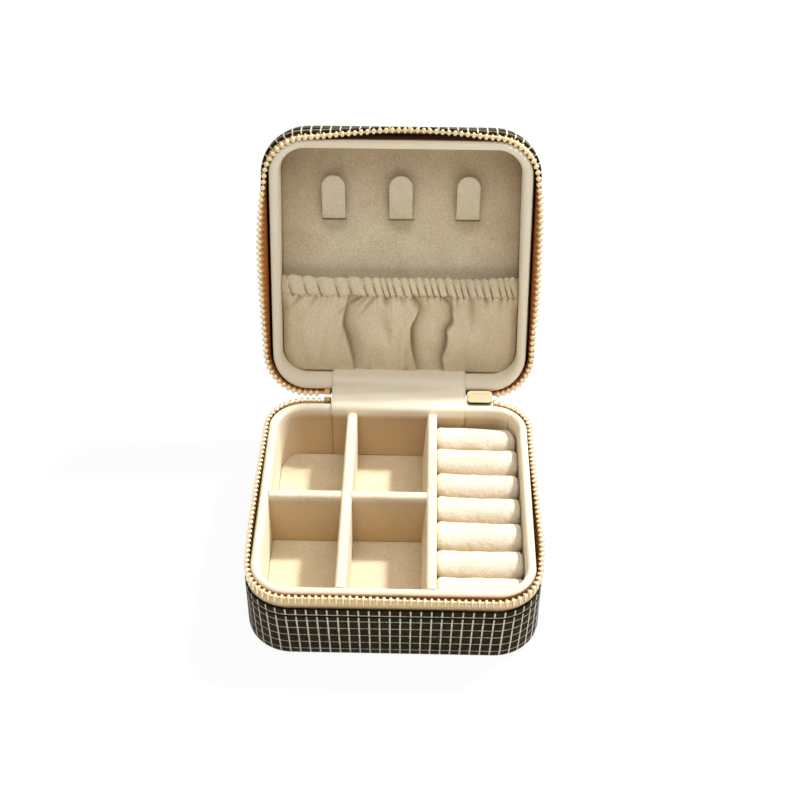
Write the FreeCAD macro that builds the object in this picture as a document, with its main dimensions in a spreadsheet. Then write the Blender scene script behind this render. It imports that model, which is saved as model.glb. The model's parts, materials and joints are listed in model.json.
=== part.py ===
import FreeCAD, Part
import math
import os

import Sketcher
from FreeCAD import Placement, Rotation, Vector

# Travel jewellery case with a zip all round, shown open.
# Frame: millimetres, X to the right, Y to the back, Z up, origin on the underside at its middle.
# The lid's pieces are drawn closed, in a frame on the hinge line, and turned open as one.

SIZES = {
    # Outside of the leather
    "case_width": 100.0,
    "case_depth": 100.0,
    "corner_radius": 16.0,
    "base_edge_radius": 3.2,
    "lid_edge_radius": 5.5,
    "lid_inset": 0.9,
    # Heights from the floor, and from the parting plane between base and lid
    "parting_height": 29.6,
    "parting_gap": 0.3,
    "lid_height": 17.6,
    "open_angle": 109.0,
    # Layers of the walls
    "leather_thickness": 1.0,
    "board_thickness": 1.8,
    "foam_thickness": 1.8,
    "glue_gap": 0.1,
    "turn_in_width": 9.0,
    # Leather band that carries the zip
    "zip_reveal": 5.3,
    "band_width": 3.9,
    "seam_gap": 0.2,
    # Padded lining
    "rim_width": 3.65,
    "rim_round": 1.6,
    "floor_pad_thickness": 3.5,
    "recess_depth": 10.4,
    # Dividers
    "divider_thickness": 3.3,
    "divider_drop": 0.3,
    "left_divider_offset": 17.25,
    "right_divider_offset": 12.65,
    "cross_divider_offset": 1.9,
    # Ring rolls
    "roll_board_thickness": 1.5,
    "roll_drop": 6.3,
    "roll_crown": 3.8,
    "roll_draw_in": 0.9,
    "roll_end_round": 2.0,
    # Zip
    "tape_thickness": 0.7,
    "tape_edge_drop": 1.2,
    "lid_tape_flare": 1.2,
    "tooth_pitch": 2.2,
    "tooth_width": 1.4,
    "tooth_depth": 2.2,
    "tooth_height": 3.3,
    "tooth_drop": 0.25,
    "tooth_slot_gap": 0.22,
    "stop_length": 2.6,
    # Hinge of leather outside and lining cloth inside
    "spine_width": 50.0,
    "spine_thickness": 0.9,
    "spine_bend_radius": 0.2,
    "spine_gap": 0.2,
    "strap_width": 50.0,
    "strap_thickness": 0.6,
    "strap_gap": 0.2,
    "strap_bend_radius": 6.2,
    "strap_edge_radius": 2.2,
    # Slider and pull
    "slider_gap": 0.6,
    "slider_length": 9.4,
    "slider_outer_width": 5.8,
    "slider_inner_width": 4.4,
    "slider_plate": 0.7,
    "slider_inner_reach": 2.1,
    "slider_outer_reach": 1.6,
    "slider_corner_radius": 1.5,
    "slider_end_gap": 0.5,
    "wedge_length": 2.8,
    "wedge_width": 1.8,
    "wedge_radius": 0.6,
    "wedge_offset": 2.8,
    "inlay_length": 6.2,
    "inlay_width": 2.2,
    "inlay_radius": 0.5,
    "inlay_depth": 0.2,
    "bail_radius": 0.6,
    "bail_rise": 1.9,
    "bail_post": 1.0,
    "knuckle_clearance": 0.3,
    "knuckle_wall": 0.8,
    "knuckle_width": 3.4,
    "knuckle_end_gap": 0.3,
    "knuckle_sink": 0.5,
    "pull_width": 6.0,
    "pull_length": 20.0,
    "pull_thickness": 1.5,
    "pull_corner_radius": 1.5,
    # Necklace hooks
    "hook_width": 8.4,
    "hook_length": 16.6,
    "hook_foot": 3.6,
    "hook_thickness": 1.4,
    "hook_lift": 3.6,
    "hook_spacing": 24.4,
    "hook_root_height": 65.8,
    # Gathered pocket
    "pocket_side_gap": 0.3,
    "pocket_foot": 8.0,
    "pocket_height": 36.9,
    "casing_height": 7.2,
    "cloth_thickness": 0.9,
    "pocket_stand_off": 1.4,
    "pocket_bulge": 1.9,
    "pocket_edge_bulge": 0.3,
    "left_fold_offset": 19.2,
    "middle_fold_offset": 4.7,
    "right_fold_offset": 17.9,
    "fold_drift": 1.0,
    "casing_depth": 3.2,
    "elastic_width": 3.2,
    "elastic_thickness": 0.8,
    "elastic_gap": 0.1,
}
ROLL_COUNT = 7
# A full round takes just under half of the thickness that it goes over
FULL_ROUND = 0.48
# Shape of the pocket from its foot to the casing's seam: share of the height, share of the lean away
# from the panel, share of the swell between the folds, and share of the folds' sideways drift
POCKET_SHAPE = ((0.2, 0.3, 0.8, 1.0), (0.5, 0.7, 1.0, -1.0), (0.85, 1.0, 0.6, 0.5))
TOLERANCE = 1e-4

doc = FreeCAD.newDocument("jewellery_case")
sheet = doc.addObject("Spreadsheet::Sheet", "sizes")
for row, (alias, number) in enumerate(SIZES.items(), start=1):
    sheet.set(f"A{row}", alias)
    sheet.set(f"B{row}", str(number))
    sheet.setAlias(f"B{row}", alias)
doc.recompute()


class Size:
    """A weighted sum of sheet cells: a number in code, and a formula for an expression."""

    def __init__(self, weights):
        self.weights = weights

    def __add__(self, other):
        total = dict(self.weights)
        for alias, weight in other.weights.items():
            total[alias] = total.get(alias, 0) + weight
        return Size(total)

    def __sub__(self, other):
        return self + other * -1

    def __neg__(self):
        return self * -1

    def __mul__(self, factor):
        return Size({alias: weight * factor for alias, weight in self.weights.items()})

    __rmul__ = __mul__

    def __truediv__(self, divisor):
        return self * (1 / divisor)

    def __float__(self):
        return float(sum(weight * sheet.get(alias) for alias, weight in self.weights.items()))

    @property
    def formula(self):
        return " + ".join(f"{weight} * sizes.{alias}" for alias, weight in self.weights.items())


class Cells:
    """One Size for each named cell of the sheet."""

    def __init__(self):
        for alias in SIZES:
            setattr(self, alias, Size({alias: 1}))


S = Cells()
NOTHING = Size({})

# Insets from the leather's outer face, layer by layer
board_inset = S.leather_thickness + S.glue_gap
liner_inset = board_inset + S.board_thickness + S.glue_gap
inner_inset = liner_inset + S.rim_width
lining_inset = inner_inset + S.glue_gap
tape_inset = board_inset
tape_middle_inset = tape_inset + S.tape_thickness / 2

# Levels in the base, from the floor up
half_width = S.case_width / 2
half_depth = S.case_depth / 2
band_top = S.parting_height - S.zip_reveal
seam_height = band_top - S.band_width
tray_floor = S.leather_thickness + S.glue_gap
liner_floor = tray_floor + S.board_thickness + S.glue_gap
pad_top = liner_floor + S.floor_pad_thickness
rim_top = S.parting_height - S.parting_gap
divider_foot = pad_top + S.glue_gap
divider_top = rim_top - S.divider_drop
roll_board_foot = pad_top + S.glue_gap
roll_foot = roll_board_foot + S.roll_board_thickness + S.glue_gap
roll_top = rim_top - S.roll_drop

# Levels in the lid, from the parting plane up, with the lid closed
lid_seam = S.zip_reveal + S.band_width
foam_top = S.lid_height - S.leather_thickness - S.glue_gap
lid_board_top = foam_top - S.foam_thickness - S.glue_gap
lid_board_inset = S.lid_inset + S.leather_thickness + S.glue_gap
panel_top = lid_board_top - S.board_thickness - S.glue_gap
lid_centre = -half_depth

# The strap's room at the back wall, which the dividers and rolls leave free
strap_room = S.strap_thickness + 2 * S.strap_gap
inside_half_width = half_width - lining_inset
inside_front = half_depth - lining_inset
inside_back = half_depth - inner_inset - strap_room

# Where the zip begins and ends along the back, left and right of the hinge
hinge_width = max(S.spine_width, S.strap_width, key=float)
slider_offset = hinge_width / 2 + S.slider_gap + S.slider_length / 2
slider_right = slider_offset + S.slider_length / 2
tape_left = S.spine_width / 2 + 2 * S.spine_gap
tape_right = slider_right + S.slider_end_gap

ONE_UP = Vector(0, 0, 1)
SIDEWAYS = Vector(1, 0, 0)


def bind(item, prop, size):
    item.setExpression(prop, size.formula)


def open_lid(item):
    """Turn a piece drawn closed, in the hinge line's frame, back to the open lid's place."""
    hinge = Vector(0, float(half_depth), float(S.parting_height))
    item.Placement = Placement(hinge, Rotation(-SIDEWAYS, float(S.open_angle)))
    bind(item, "Placement.Base.y", half_depth)
    bind(item, "Placement.Base.z", S.parting_height)
    bind(item, "Placement.Rotation.Angle", S.open_angle)


def new_body(name):
    body = doc.addObject("PartDesign::Body", name)
    body.Label = name
    return body


def new_sketch(body, height, centre_x=NOTHING, centre_y=NOTHING, plane="XY_Plane"):
    """An empty sketch on one of the body's planes, its origin moved to the given centre."""
    sketch = body.newObject("Sketcher::SketchObject", f"{body.Name}_sketch")
    support = [item for item in body.Origin.OriginFeatures if item.Role == plane][0]
    sketch.AttachmentSupport = (support, [""])
    sketch.MapMode = "FlatFace"
    for axis, size in (("x", centre_x), ("y", centre_y), ("z", height)):
        if size.weights:
            bind(sketch, f"AttachmentOffset.Base.{axis}", size)
    return sketch


def name_and_bind(sketch, index, name, size):
    sketch.renameConstraint(index, name)
    bind(sketch, f"Constraints.{name}", size)


def draw_rectangle(sketch, width, depth):
    """A sharp rectangle about the sketch's origin."""
    x, y = float(width) / 2, float(depth) / 2
    corners = [Vector(x, y, 0), Vector(-x, y, 0), Vector(-x, -y, 0), Vector(x, -y, 0)]
    lines = [
        sketch.addGeometry(Part.LineSegment(corners[side], corners[(side + 1) % 4]))
        for side in range(4)
    ]
    for side, line in enumerate(lines):
        following = lines[(side + 1) % 4]
        sketch.addConstraint(Sketcher.Constraint("Coincident", line, 2, following, 1))
        sketch.addConstraint(Sketcher.Constraint("Horizontal" if side % 2 == 0 else "Vertical", line))
    sketch.addConstraint(Sketcher.Constraint("Symmetric", lines[0], 1, lines[2], 1, -1, 1))
    across = sketch.addConstraint(Sketcher.Constraint("DistanceX", lines[1], 1, lines[0], 1, 2 * x))
    along = sketch.addConstraint(Sketcher.Constraint("DistanceY", lines[2], 1, lines[1], 1, 2 * y))
    name_and_bind(sketch, across, f"width_{across}", width)
    name_and_bind(sketch, along, f"depth_{along}", depth)


def draw_rounded_rectangle(sketch, width, depth, radius):
    """A rectangle with round corners about the sketch's origin: four arcs joined by four lines."""
    x, y, r = float(width) / 2, float(depth) / 2, float(radius)
    quarter = math.pi / 2
    arcs = []
    for turn, (side_x, side_y) in enumerate(((1, 1), (-1, 1), (-1, -1), (1, -1))):
        circle = Part.Circle(Vector(side_x * (x - r), side_y * (y - r), 0), ONE_UP, r)
        arcs.append(sketch.addGeometry(Part.ArcOfCircle(circle, turn * quarter, (turn + 1) * quarter)))
    lines = []
    for turn in range(4):
        start = sketch.getPoint(arcs[turn], 2)
        end = sketch.getPoint(arcs[(turn + 1) % 4], 1)
        lines.append(sketch.addGeometry(Part.LineSegment(start, end)))
    for turn, line in enumerate(lines):
        sketch.addConstraint(Sketcher.Constraint("Tangent", arcs[turn], 2, line, 1))
        sketch.addConstraint(Sketcher.Constraint("Tangent", line, 2, arcs[(turn + 1) % 4], 1))
        sketch.addConstraint(Sketcher.Constraint("Horizontal" if turn % 2 == 0 else "Vertical", line))
    for arc in arcs[1:]:
        sketch.addConstraint(Sketcher.Constraint("Equal", arcs[0], arc))
    sketch.addConstraint(Sketcher.Constraint("Symmetric", arcs[0], 3, arcs[2], 3, -1, 1))
    round_at = sketch.addConstraint(Sketcher.Constraint("Radius", arcs[0], r))
    across = sketch.addConstraint(Sketcher.Constraint("DistanceX", lines[1], 1, lines[3], 1, 2 * x))
    along = sketch.addConstraint(Sketcher.Constraint("DistanceY", lines[2], 1, lines[0], 1, 2 * y))
    name_and_bind(sketch, round_at, f"radius_{round_at}", radius)
    name_and_bind(sketch, across, f"width_{across}", width)
    name_and_bind(sketch, along, f"depth_{along}", depth)


def draw_outline(sketch, inset):
    """The case's own outline, moved in from the leather's outer face."""
    draw_rounded_rectangle(
        sketch, S.case_width - 2 * inset, S.case_depth - 2 * inset, S.corner_radius - inset
    )


def add_pad(body, sketch, length, midplane=False):
    feature = body.newObject("PartDesign::Pad", f"{body.Name}_pad")
    feature.Profile = sketch
    bind(feature, "Length", length)
    if midplane:
        feature.SideType = "Symmetric"
    doc.recompute()
    return feature


def add_pocket(body, sketch, length, upward=False):
    feature = body.newObject("PartDesign::Pocket", f"{body.Name}_pocket")
    feature.Profile = sketch
    bind(feature, "Length", length)
    feature.Reversed = upward
    doc.recompute()
    return feature


def edges_at(shape, place, axis="z"):
    """Names of the edges that lie in one plane across the given axis."""
    names = []
    for index, edge in enumerate(shape.Edges, start=1):
        if all(abs(getattr(vertex.Point, axis) - place) < TOLERANCE for vertex in edge.Vertexes):
            names.append(f"Edge{index}")
    return names


def add_fillet(body, base, names, radius):
    feature = body.newObject("PartDesign::Fillet", f"{body.Name}_fillet")
    feature.Base = (base, names)
    bind(feature, "Radius", radius)
    doc.recompute()
    return feature


def hollow_out(body, base, open_level, wall):
    """Shell of an even wall inside a block, open at the flat face that lies at one level."""
    names = [
        f"Face{index}" for index, face in enumerate(base.Shape.Faces, start=1)
        if all(abs(vertex.Point.z - open_level) < TOLERANCE for vertex in face.Vertexes)
    ]
    feature = body.newObject("PartDesign::Thickness", f"{body.Name}_shell")
    feature.Base = (base, names)
    feature.Reversed = True
    bind(feature, "Value", wall)
    doc.recompute()
    return feature


def prism(name, height, length, outline, centre_x=NOTHING, centre_y=NOTHING):
    """A body of one pad; the outline is two sizes for a rectangle, or three with a corner radius."""
    body = new_body(name)
    sketch = new_sketch(body, height, centre_x, centre_y)
    if len(outline) == 3:
        draw_rounded_rectangle(sketch, *outline)
    else:
        draw_rectangle(sketch, *outline)
    return body, add_pad(body, sketch, length)


def ring(name, height, length, outside, inside, centre_y=NOTHING):
    """An upright wall between two insets of the case's outline."""
    body = new_body(name)
    sketch = new_sketch(body, height, centre_y=centre_y)
    draw_outline(sketch, outside)
    draw_outline(sketch, inside)
    return body, add_pad(body, sketch, length)


def base_leather_cover():
    """Side wall of the base's leather, rolled under and turned in round the underside."""
    body = new_body("base_leather_cover")
    top = seam_height - S.seam_gap / 2
    sketch = new_sketch(body, NOTHING)
    draw_outline(sketch, NOTHING)
    block = add_pad(body, sketch, top)
    block = add_fillet(body, block, edges_at(block.Shape, 0), S.base_edge_radius)
    hollow_out(body, block, float(top), S.leather_thickness)
    sketch = new_sketch(body, S.leather_thickness)
    draw_outline(sketch, S.leather_thickness + S.turn_in_width)
    add_pocket(body, sketch, S.leather_thickness)


def base_bottom_panel():
    """Leather panel set flush inside the turned-in edge; the case stands on both."""
    body = new_body("base_bottom_panel")
    sketch = new_sketch(body, NOTHING)
    draw_outline(sketch, S.leather_thickness + S.turn_in_width + S.glue_gap)
    add_pad(body, sketch, S.leather_thickness)


def base_board_tray():
    """Stiff board tray between the leather and the lining."""
    body = new_body("base_board_tray")
    sketch = new_sketch(body, tray_floor)
    draw_outline(sketch, board_inset)
    block = add_pad(body, sketch, seam_height - tray_floor)
    foot_edges = edges_at(block.Shape, float(tray_floor))
    add_fillet(body, block, foot_edges, S.base_edge_radius - board_inset)
    sketch = new_sketch(body, seam_height)
    draw_outline(sketch, board_inset + S.board_thickness)
    add_pocket(body, sketch, seam_height - tray_floor - S.board_thickness)


def leather_band(name, height, centre_y=NOTHING):
    """Leather band along the zip, open at the back where the hinge spine closes it."""
    body, _ = ring(name, height, S.band_width - S.seam_gap / 2, NOTHING, S.leather_thickness, centre_y)
    window = S.spine_width + 2 * S.spine_gap
    sketch = new_sketch(body, height + S.band_width, centre_y=centre_y + half_depth)
    draw_rectangle(sketch, window, 4 * S.leather_thickness)
    add_pocket(body, sketch, 2 * S.band_width)
    return body


def base_liner_wall():
    """Padded lining wall of the base; its rounded top is the cream rim."""
    body, block = ring("base_liner_wall", liner_floor, rim_top - liner_floor, liner_inset, inner_inset)
    add_fillet(body, block, edges_at(block.Shape, float(rim_top)), S.rim_round)


def base_floor_pad():
    body = new_body("base_floor_pad")
    sketch = new_sketch(body, liner_floor)
    draw_outline(sketch, lining_inset)
    add_pad(body, sketch, S.floor_pad_thickness)


def divider(name, width, depth, centre_x, centre_y, round_axis):
    """Padded divider with a round top edge along its length."""
    height = divider_top - divider_foot
    body, block = prism(name, divider_foot, height, (width, depth), centre_x, centre_y)
    top = set(edges_at(block.Shape, float(divider_top)))
    centre = float(centre_x) if round_axis == "x" else float(centre_y)
    sides = set()
    for sign in (-1, 1):
        sides |= set(edges_at(block.Shape, centre + sign * float(S.divider_thickness) / 2, round_axis))
    add_fillet(body, block, sorted(top & sides), S.divider_thickness * FULL_ROUND)


def dividers():
    """Two long dividers from front to back and a short one across each of the two left bays."""
    long_depth = inside_front + inside_back
    long_centre = (inside_back - inside_front) / 2
    left_face = -S.left_divider_offset
    right_face = S.right_divider_offset
    divider("divider_long_left", S.divider_thickness, long_depth, left_face, long_centre, "x")
    divider("divider_long_right", S.divider_thickness, long_depth, right_face, long_centre, "x")
    half = S.divider_thickness / 2 + S.glue_gap
    bays = {
        "divider_short_left": (-inside_half_width, left_face - half),
        "divider_short_middle": (left_face + half, right_face - half),
    }
    for name, (start, end) in bays.items():
        centre_x = (start + end) / 2
        divider(name, end - start, S.divider_thickness, centre_x, -S.cross_divider_offset, "y")


def lid_leather_cover():
    """Leather of the lid: side wall and padded top in one, with a full round edge."""
    body = new_body("lid_leather_cover")
    foot = lid_seam + S.seam_gap / 2
    sketch = new_sketch(body, foot, centre_y=lid_centre)
    draw_outline(sketch, S.lid_inset)
    block = add_pad(body, sketch, S.lid_height - foot)
    block = add_fillet(body, block, edges_at(block.Shape, float(S.lid_height)), S.lid_edge_radius)
    hollow_out(body, block, float(foot), S.leather_thickness)
    open_lid(body)


def lid_board_tray():
    """Stiff board tray of the lid."""
    body = new_body("lid_board_tray")
    sketch = new_sketch(body, lid_seam, centre_y=lid_centre)
    draw_outline(sketch, lid_board_inset)
    block = add_pad(body, sketch, lid_board_top - lid_seam)
    outer_round = S.lid_edge_radius - S.leather_thickness - S.glue_gap
    block = add_fillet(body, block, edges_at(block.Shape, float(lid_board_top)), outer_round)
    sketch = new_sketch(body, lid_seam, centre_y=lid_centre)
    draw_outline(sketch, liner_inset - S.glue_gap)
    add_pocket(body, sketch, lid_board_top - S.board_thickness - lid_seam, upward=True)
    open_lid(body)


def lid_flat_layer(name, inset, foot, top):
    """A flat layer of the lid with the case's outline."""
    body = new_body(name)
    sketch = new_sketch(body, foot, centre_y=lid_centre)
    draw_outline(sketch, inset)
    add_pad(body, sketch, top - foot)
    open_lid(body)


def lid_liner_rim():
    """Padded rim of the lid, round along its open edge."""
    body, block = ring(
        "lid_liner_rim", S.parting_gap, panel_top - S.parting_gap, liner_inset, inner_inset, lid_centre
    )
    add_fillet(body, block, edges_at(block.Shape, float(S.parting_gap)), S.rim_round)
    open_lid(body)


def necklace_hooks():
    """Three stiffened tongues, sewn to the lid panel at the root, with the round tip standing off it."""
    for name, place in (("hook_left", -1), ("hook_middle", 0), ("hook_right", 1)):
        root = float(S.hook_root_height)
        tip = root + float(S.hook_length)
        seat = float(S.recess_depth - S.glue_gap)
        raised = seat - float(S.hook_lift)
        thick = float(S.hook_thickness)
        profile = [
            (root, seat), (root + float(S.hook_foot), seat), (tip, raised), (tip, raised - thick),
            (root, seat - thick),
        ]
        side = place * float(S.hook_spacing) - float(S.hook_width) / 2
        wire = Part.makePolygon([Vector(side, -r, q) for r, q in profile + profile[:1]])
        tongue = Part.Face(wire).extrude(SIDEWAYS * float(S.hook_width))
        tip_edges = [
            edge for edge in tongue.Edges
            if all(abs(vertex.Point.y + tip) < TOLERANCE for vertex in edge.Vertexes)
            and abs(edge.Vertexes[0].Point.x - edge.Vertexes[1].Point.x) < TOLERANCE
        ]
        tongue = tongue.makeFillet(float(S.hook_width) * FULL_ROUND, tip_edges)
        add_feature(name, tongue, lid=True)


def add_feature(name, shape, lid=False):
    """A document object around a finished shape."""
    feature = doc.addObject("Part::Feature", name)
    feature.Label = name
    feature.Shape = shape
    if lid:
        open_lid(feature)
    return feature


def arc(centre, radius, start, end, height):
    """Arc in a level plane, angles in degrees."""
    points = []
    for angle in (start, (start + end) / 2, end):
        turn = math.radians(angle)
        x = centre[0] + radius * math.cos(turn)
        y = centre[1] + radius * math.sin(turn)
        points.append(Vector(x, y, height))
    return Part.Arc(*points).toShape()


def line(start, end):
    return Part.LineSegment(Vector(*start), Vector(*end)).toShape()


def zip_track(inset, flare, height, centre_y):
    """The zip's run as nine edges: from the slider round the case to the hinge's other side.

    The flare moves the sides and the front out, and leaves the back straight.
    """
    w = float(half_width) - inset + flare
    front = centre_y - float(half_depth) + inset - flare
    back = centre_y + float(half_depth) - inset
    r = float(S.corner_radius) - inset + flare
    right, left = w - r, r - w
    near, far = front + r, back - r
    return [
        line((float(tape_left), back, height), (right, back, height)),
        arc((right, far), r, 90, 0, height),
        line((w, far, height), (w, near, height)),
        arc((right, near), r, 0, -90, height),
        line((right, front, height), (left, front, height)),
        arc((left, near), r, -90, -180, height),
        line((-w, near, height), (-w, far, height)),
        arc((left, far), r, 180, 90, height),
        line((left, back, height), (-float(tape_left), back, height)),
    ]


def tape_section(flare, height, centre_y):
    """Closed outline of the tape's thickness at one height."""
    outer = zip_track(float(tape_inset), flare, height, centre_y)
    inner = zip_track(float(tape_inset + S.tape_thickness), flare, height, centre_y)
    caps = []
    for index, end in ((0, 0), (-1, -1)):
        start = outer[index].Vertexes[end].Point
        finish = inner[index].Vertexes[end].Point
        caps.append(Part.LineSegment(start, finish).toShape())
    return Part.Wire(outer + [caps[1]] + inner[::-1] + [caps[0]])


def zip_tape(name, levels, parting, flare, centre_y, lid):
    """Woven tape sewn inside the leather band; at the slider only its sewn lower part runs on.

    The levels are the tape's sewn foot, the band's edge, where it begins to lean out, and its own edge.
    """
    foot, bend, edge = levels
    tape = Part.makeLoft([
        tape_section(0.0, foot, centre_y),
        tape_section(0.0, bend, centre_y),
        tape_section(flare, edge, centre_y),
    ], True, True)
    sweep = math.hypot(float(S.slider_outer_reach), float(S.slider_outer_width) / 2)
    sweep += float(S.parting_gap)
    room = 2 * float(S.rim_width)
    notch_start = float(tape_left) - float(S.slider_length)
    notch = Part.makeBox(
        float(tape_right) - notch_start, room, 2 * sweep,
        Vector(notch_start, centre_y + float(half_depth) - room, parting - sweep),
    )
    add_feature(name, tape.cut(notch), lid)


def zip_clip(length, depth, height):
    """Metal clip round the tape's edge, its head round, standing on the origin with its slot down."""
    half = length / 2
    radius = min(half, float(S.tooth_width) / 2)
    shoulder = height - radius
    flat = half - radius
    slant = radius * math.sin(math.pi / 4)
    head = Part.Arc(
        Vector(half, 0, shoulder), Vector(flat + slant, 0, shoulder + slant), Vector(flat, 0, height)
    )
    tail = Part.Arc(
        Vector(-flat, 0, height), Vector(-flat - slant, 0, shoulder + slant), Vector(-half, 0, shoulder)
    )
    edges = [line((-half, 0, 0), (half, 0, 0)), line((half, 0, 0), (half, 0, shoulder)), head.toShape()]
    if flat > TOLERANCE:
        edges.append(line((flat, 0, height), (-flat, 0, height)))
    edges += [tail.toShape(), line((-half, 0, shoulder), (-half, 0, 0))]
    clip = Part.Face(Part.Wire(edges)).extrude(Vector(0, depth, 0))
    clip.translate(Vector(0, -depth / 2, 0))
    slot = float(S.tape_thickness) + 2 * float(S.tooth_slot_gap)
    slot_height = height - float(S.tape_edge_drop) + float(S.tooth_drop) + 2 * float(S.tooth_slot_gap)
    return clip.cut(Part.makeBox(2 * length, slot, slot_height, Vector(-length, -slot / 2, 0)))


def place_on_track(clip, foot_track, head_track, distance):
    """Copy of a clip, stood on the track at a distance from its start, leaning with the tape."""
    index = 0
    while distance > foot_track[index].Length and index < len(foot_track) - 1:
        distance -= foot_track[index].Length
        index += 1
    share = min(distance / foot_track[index].Length, 1.0)
    points = []
    for edge in (foot_track[index], head_track[index]):
        first, last = edge.ParameterRange
        points.append(edge.valueAt(first + share * (last - first)))
    first, last = foot_track[index].ParameterRange
    tangent = foot_track[index].tangentAt(first + share * (last - first))
    rise = (points[1] - points[0]).normalize()
    across = rise.cross(tangent).normalize()
    copy = clip.copy()
    copy.Placement = Placement(points[0], Rotation(across.cross(rise), across, rise, "ZXY"))
    return copy


def zip_chain(side, levels, flare, centre_y, lid):
    """Row of teeth along the tape's edge, and the stop that ends it beside the hinge."""
    middle = float(tape_middle_inset)
    _, bend, edge = levels
    sign = 1 if edge > bend else -1
    head = edge + sign * (float(S.tape_edge_drop) - float(S.tooth_drop))
    tooth_foot = head - sign * float(S.tooth_height)
    lean = flare / (edge - bend)
    tracks = [
        zip_track(middle, lean * (height - bend), height, centre_y) for height in (tooth_foot, head)
    ]
    length = sum(piece.Length for piece in tracks[0])
    start = float(tape_right - tape_left) + float(S.tooth_pitch) / 2
    stop_at = length - float(S.stop_length) / 2
    last = stop_at - float(S.stop_length) / 2 - float(S.tooth_pitch) / 2
    count = int((last - start) / float(S.tooth_pitch)) + 1
    tooth = zip_clip(float(S.tooth_width), float(S.tooth_depth), float(S.tooth_height))
    teeth = [
        place_on_track(tooth, *tracks, start + index * float(S.tooth_pitch)) for index in range(count)
    ]
    add_feature(f"{side}_zip_teeth", Part.makeCompound(teeth), lid)
    stop = zip_clip(float(S.stop_length), float(S.tooth_depth), float(S.tooth_height))
    add_feature(f"{side}_zip_stop", Part.makeCompound([place_on_track(stop, *tracks, stop_at)]), lid)


def zips():
    """Tape, teeth and stop of both halves of the zip."""
    parting = S.parting_height
    levels = [float(place) for place in (seam_height + S.seam_gap, band_top, parting - S.tape_edge_drop)]
    zip_tape("base_zip_tape", levels, float(parting), 0.0, 0.0, lid=False)
    zip_chain("base", levels, 0.0, 0.0, lid=False)
    levels = [float(place) for place in (lid_seam - S.seam_gap, S.zip_reveal, S.tape_edge_drop)]
    flare = float(S.lid_tape_flare)
    zip_tape("lid_zip_tape", levels, 0.0, flare, float(lid_centre), lid=True)
    zip_chain("lid", levels, flare, float(lid_centre), lid=True)


def roll_section(x, middle, half, top, crown):
    """Upright section of a ring roll: flat foot, sides drawn in below, arched top."""
    foot = float(roll_foot)
    waist = half - float(S.roll_draw_in)
    shoulder = top - crown
    points = [(-waist, foot), (waist, foot), (half, shoulder), (-half, shoulder)]
    corners = [Vector(x, middle + y, z) for y, z in points]
    edges = [
        Part.LineSegment(corners[0], corners[1]).toShape(),
        Part.LineSegment(corners[1], corners[2]).toShape(),
        Part.Arc(corners[2], Vector(x, middle, top), corners[3]).toShape(),
        Part.LineSegment(corners[3], corners[0]).toShape(),
    ]
    return Part.Wire(edges)


def ring_rolls():
    """Board and padded rolls that hold rings in the creases between them."""
    left = float(S.right_divider_offset + S.divider_thickness / 2 + S.glue_gap)
    right = float(inside_half_width)
    front, back = -float(inside_front), float(inside_back)
    room = Part.Face(Part.Wire(closed_outline(float(lining_inset), 0.0)))
    room = room.extrude(ONE_UP * float(S.parting_height))
    board = Part.makeBox(
        right - left, back - front, float(S.roll_board_thickness),
        Vector(left, front, float(roll_board_foot)),
    )
    add_feature("ring_roll_board", board.common(room))
    pitch = (back - front) / ROLL_COUNT
    half = (pitch - float(S.glue_gap)) / 2
    top, crown = float(roll_top), float(S.roll_crown)
    end = float(S.roll_end_round)
    drawn = float(S.roll_draw_in)
    for index in range(ROLL_COUNT):
        middle = back - (index + 0.5) * pitch
        sections = [
            roll_section(left, middle, half - drawn / 2, top - drawn, crown - drawn / 2),
            roll_section(left + end, middle, half, top, crown),
            roll_section(right - end, middle, half, top, crown),
            roll_section(right, middle, half - drawn / 2, top - drawn, crown - drawn / 2),
        ]
        roll = Part.makeLoft(sections, True, True)
        add_feature(f"ring_roll_{index + 1}", roll.common(room))


def closed_outline(inset, height):
    """The case's outline as a closed run of edges, moved in from the leather's outer face."""
    w, d = float(half_width) - inset, float(half_depth) - inset
    r = float(S.corner_radius) - inset
    x, y = w - r, d - r
    return [
        arc((x, y), r, 0, 90, height), line((x, d, height), (-x, d, height)),
        arc((-x, y), r, 90, 180, height), line((-w, y, height), (-w, -y, height)),
        arc((-x, -y), r, 180, 270, height), line((-x, -d, height), (x, -d, height)),
        arc((x, -y), r, 270, 360, height), line((w, -y, height), (w, y, height)),
    ]


def lid_point(r, q):
    """Place of a point of the open lid: r from the hinge line, q above the parting plane."""
    turn = math.radians(float(S.open_angle))
    y = float(half_depth) - r * math.cos(turn) + q * math.sin(turn)
    z = float(S.parting_height) + r * math.sin(turn) + q * math.cos(turn)
    return Vector(0, y, z)


def bent_strip(points, radii, thickness, width):
    """A strip that follows a bent line in the YZ plane, with a rounded bend at each inner point."""
    sides = []
    for offset in (-thickness / 2, thickness / 2):
        moved = []
        turns = []
        directions = [(b - a).normalize() for a, b in zip(points, points[1:])]
        normals = [Vector(0, -way.z, way.y) for way in directions]
        moved.append(points[0] + normals[0] * offset)
        for index in range(1, len(points) - 1):
            before, after = normals[index - 1], normals[index]
            bisector = before + after
            moved.append(points[index] + bisector * (offset / (1 + before.dot(after))))
            turns.append(before.cross(after).x)
        moved.append(points[-1] + normals[-1] * offset)
        sides.append(rounded_run(moved, [
            radius - offset * math.copysign(1, turn) for radius, turn in zip(radii, turns)
        ]))
    ends = []
    for index, end in ((0, 0), (-1, -1)):
        ends.append(Part.LineSegment(
            sides[0][index].Vertexes[end].Point, sides[1][index].Vertexes[end].Point
        ).toShape())
    outline = Part.Wire(sides[0] + [ends[1]] + sides[1][::-1] + [ends[0]])
    strip = Part.Face(outline).extrude(SIDEWAYS * width)
    strip.translate(SIDEWAYS * (-width / 2))
    return strip


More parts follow.
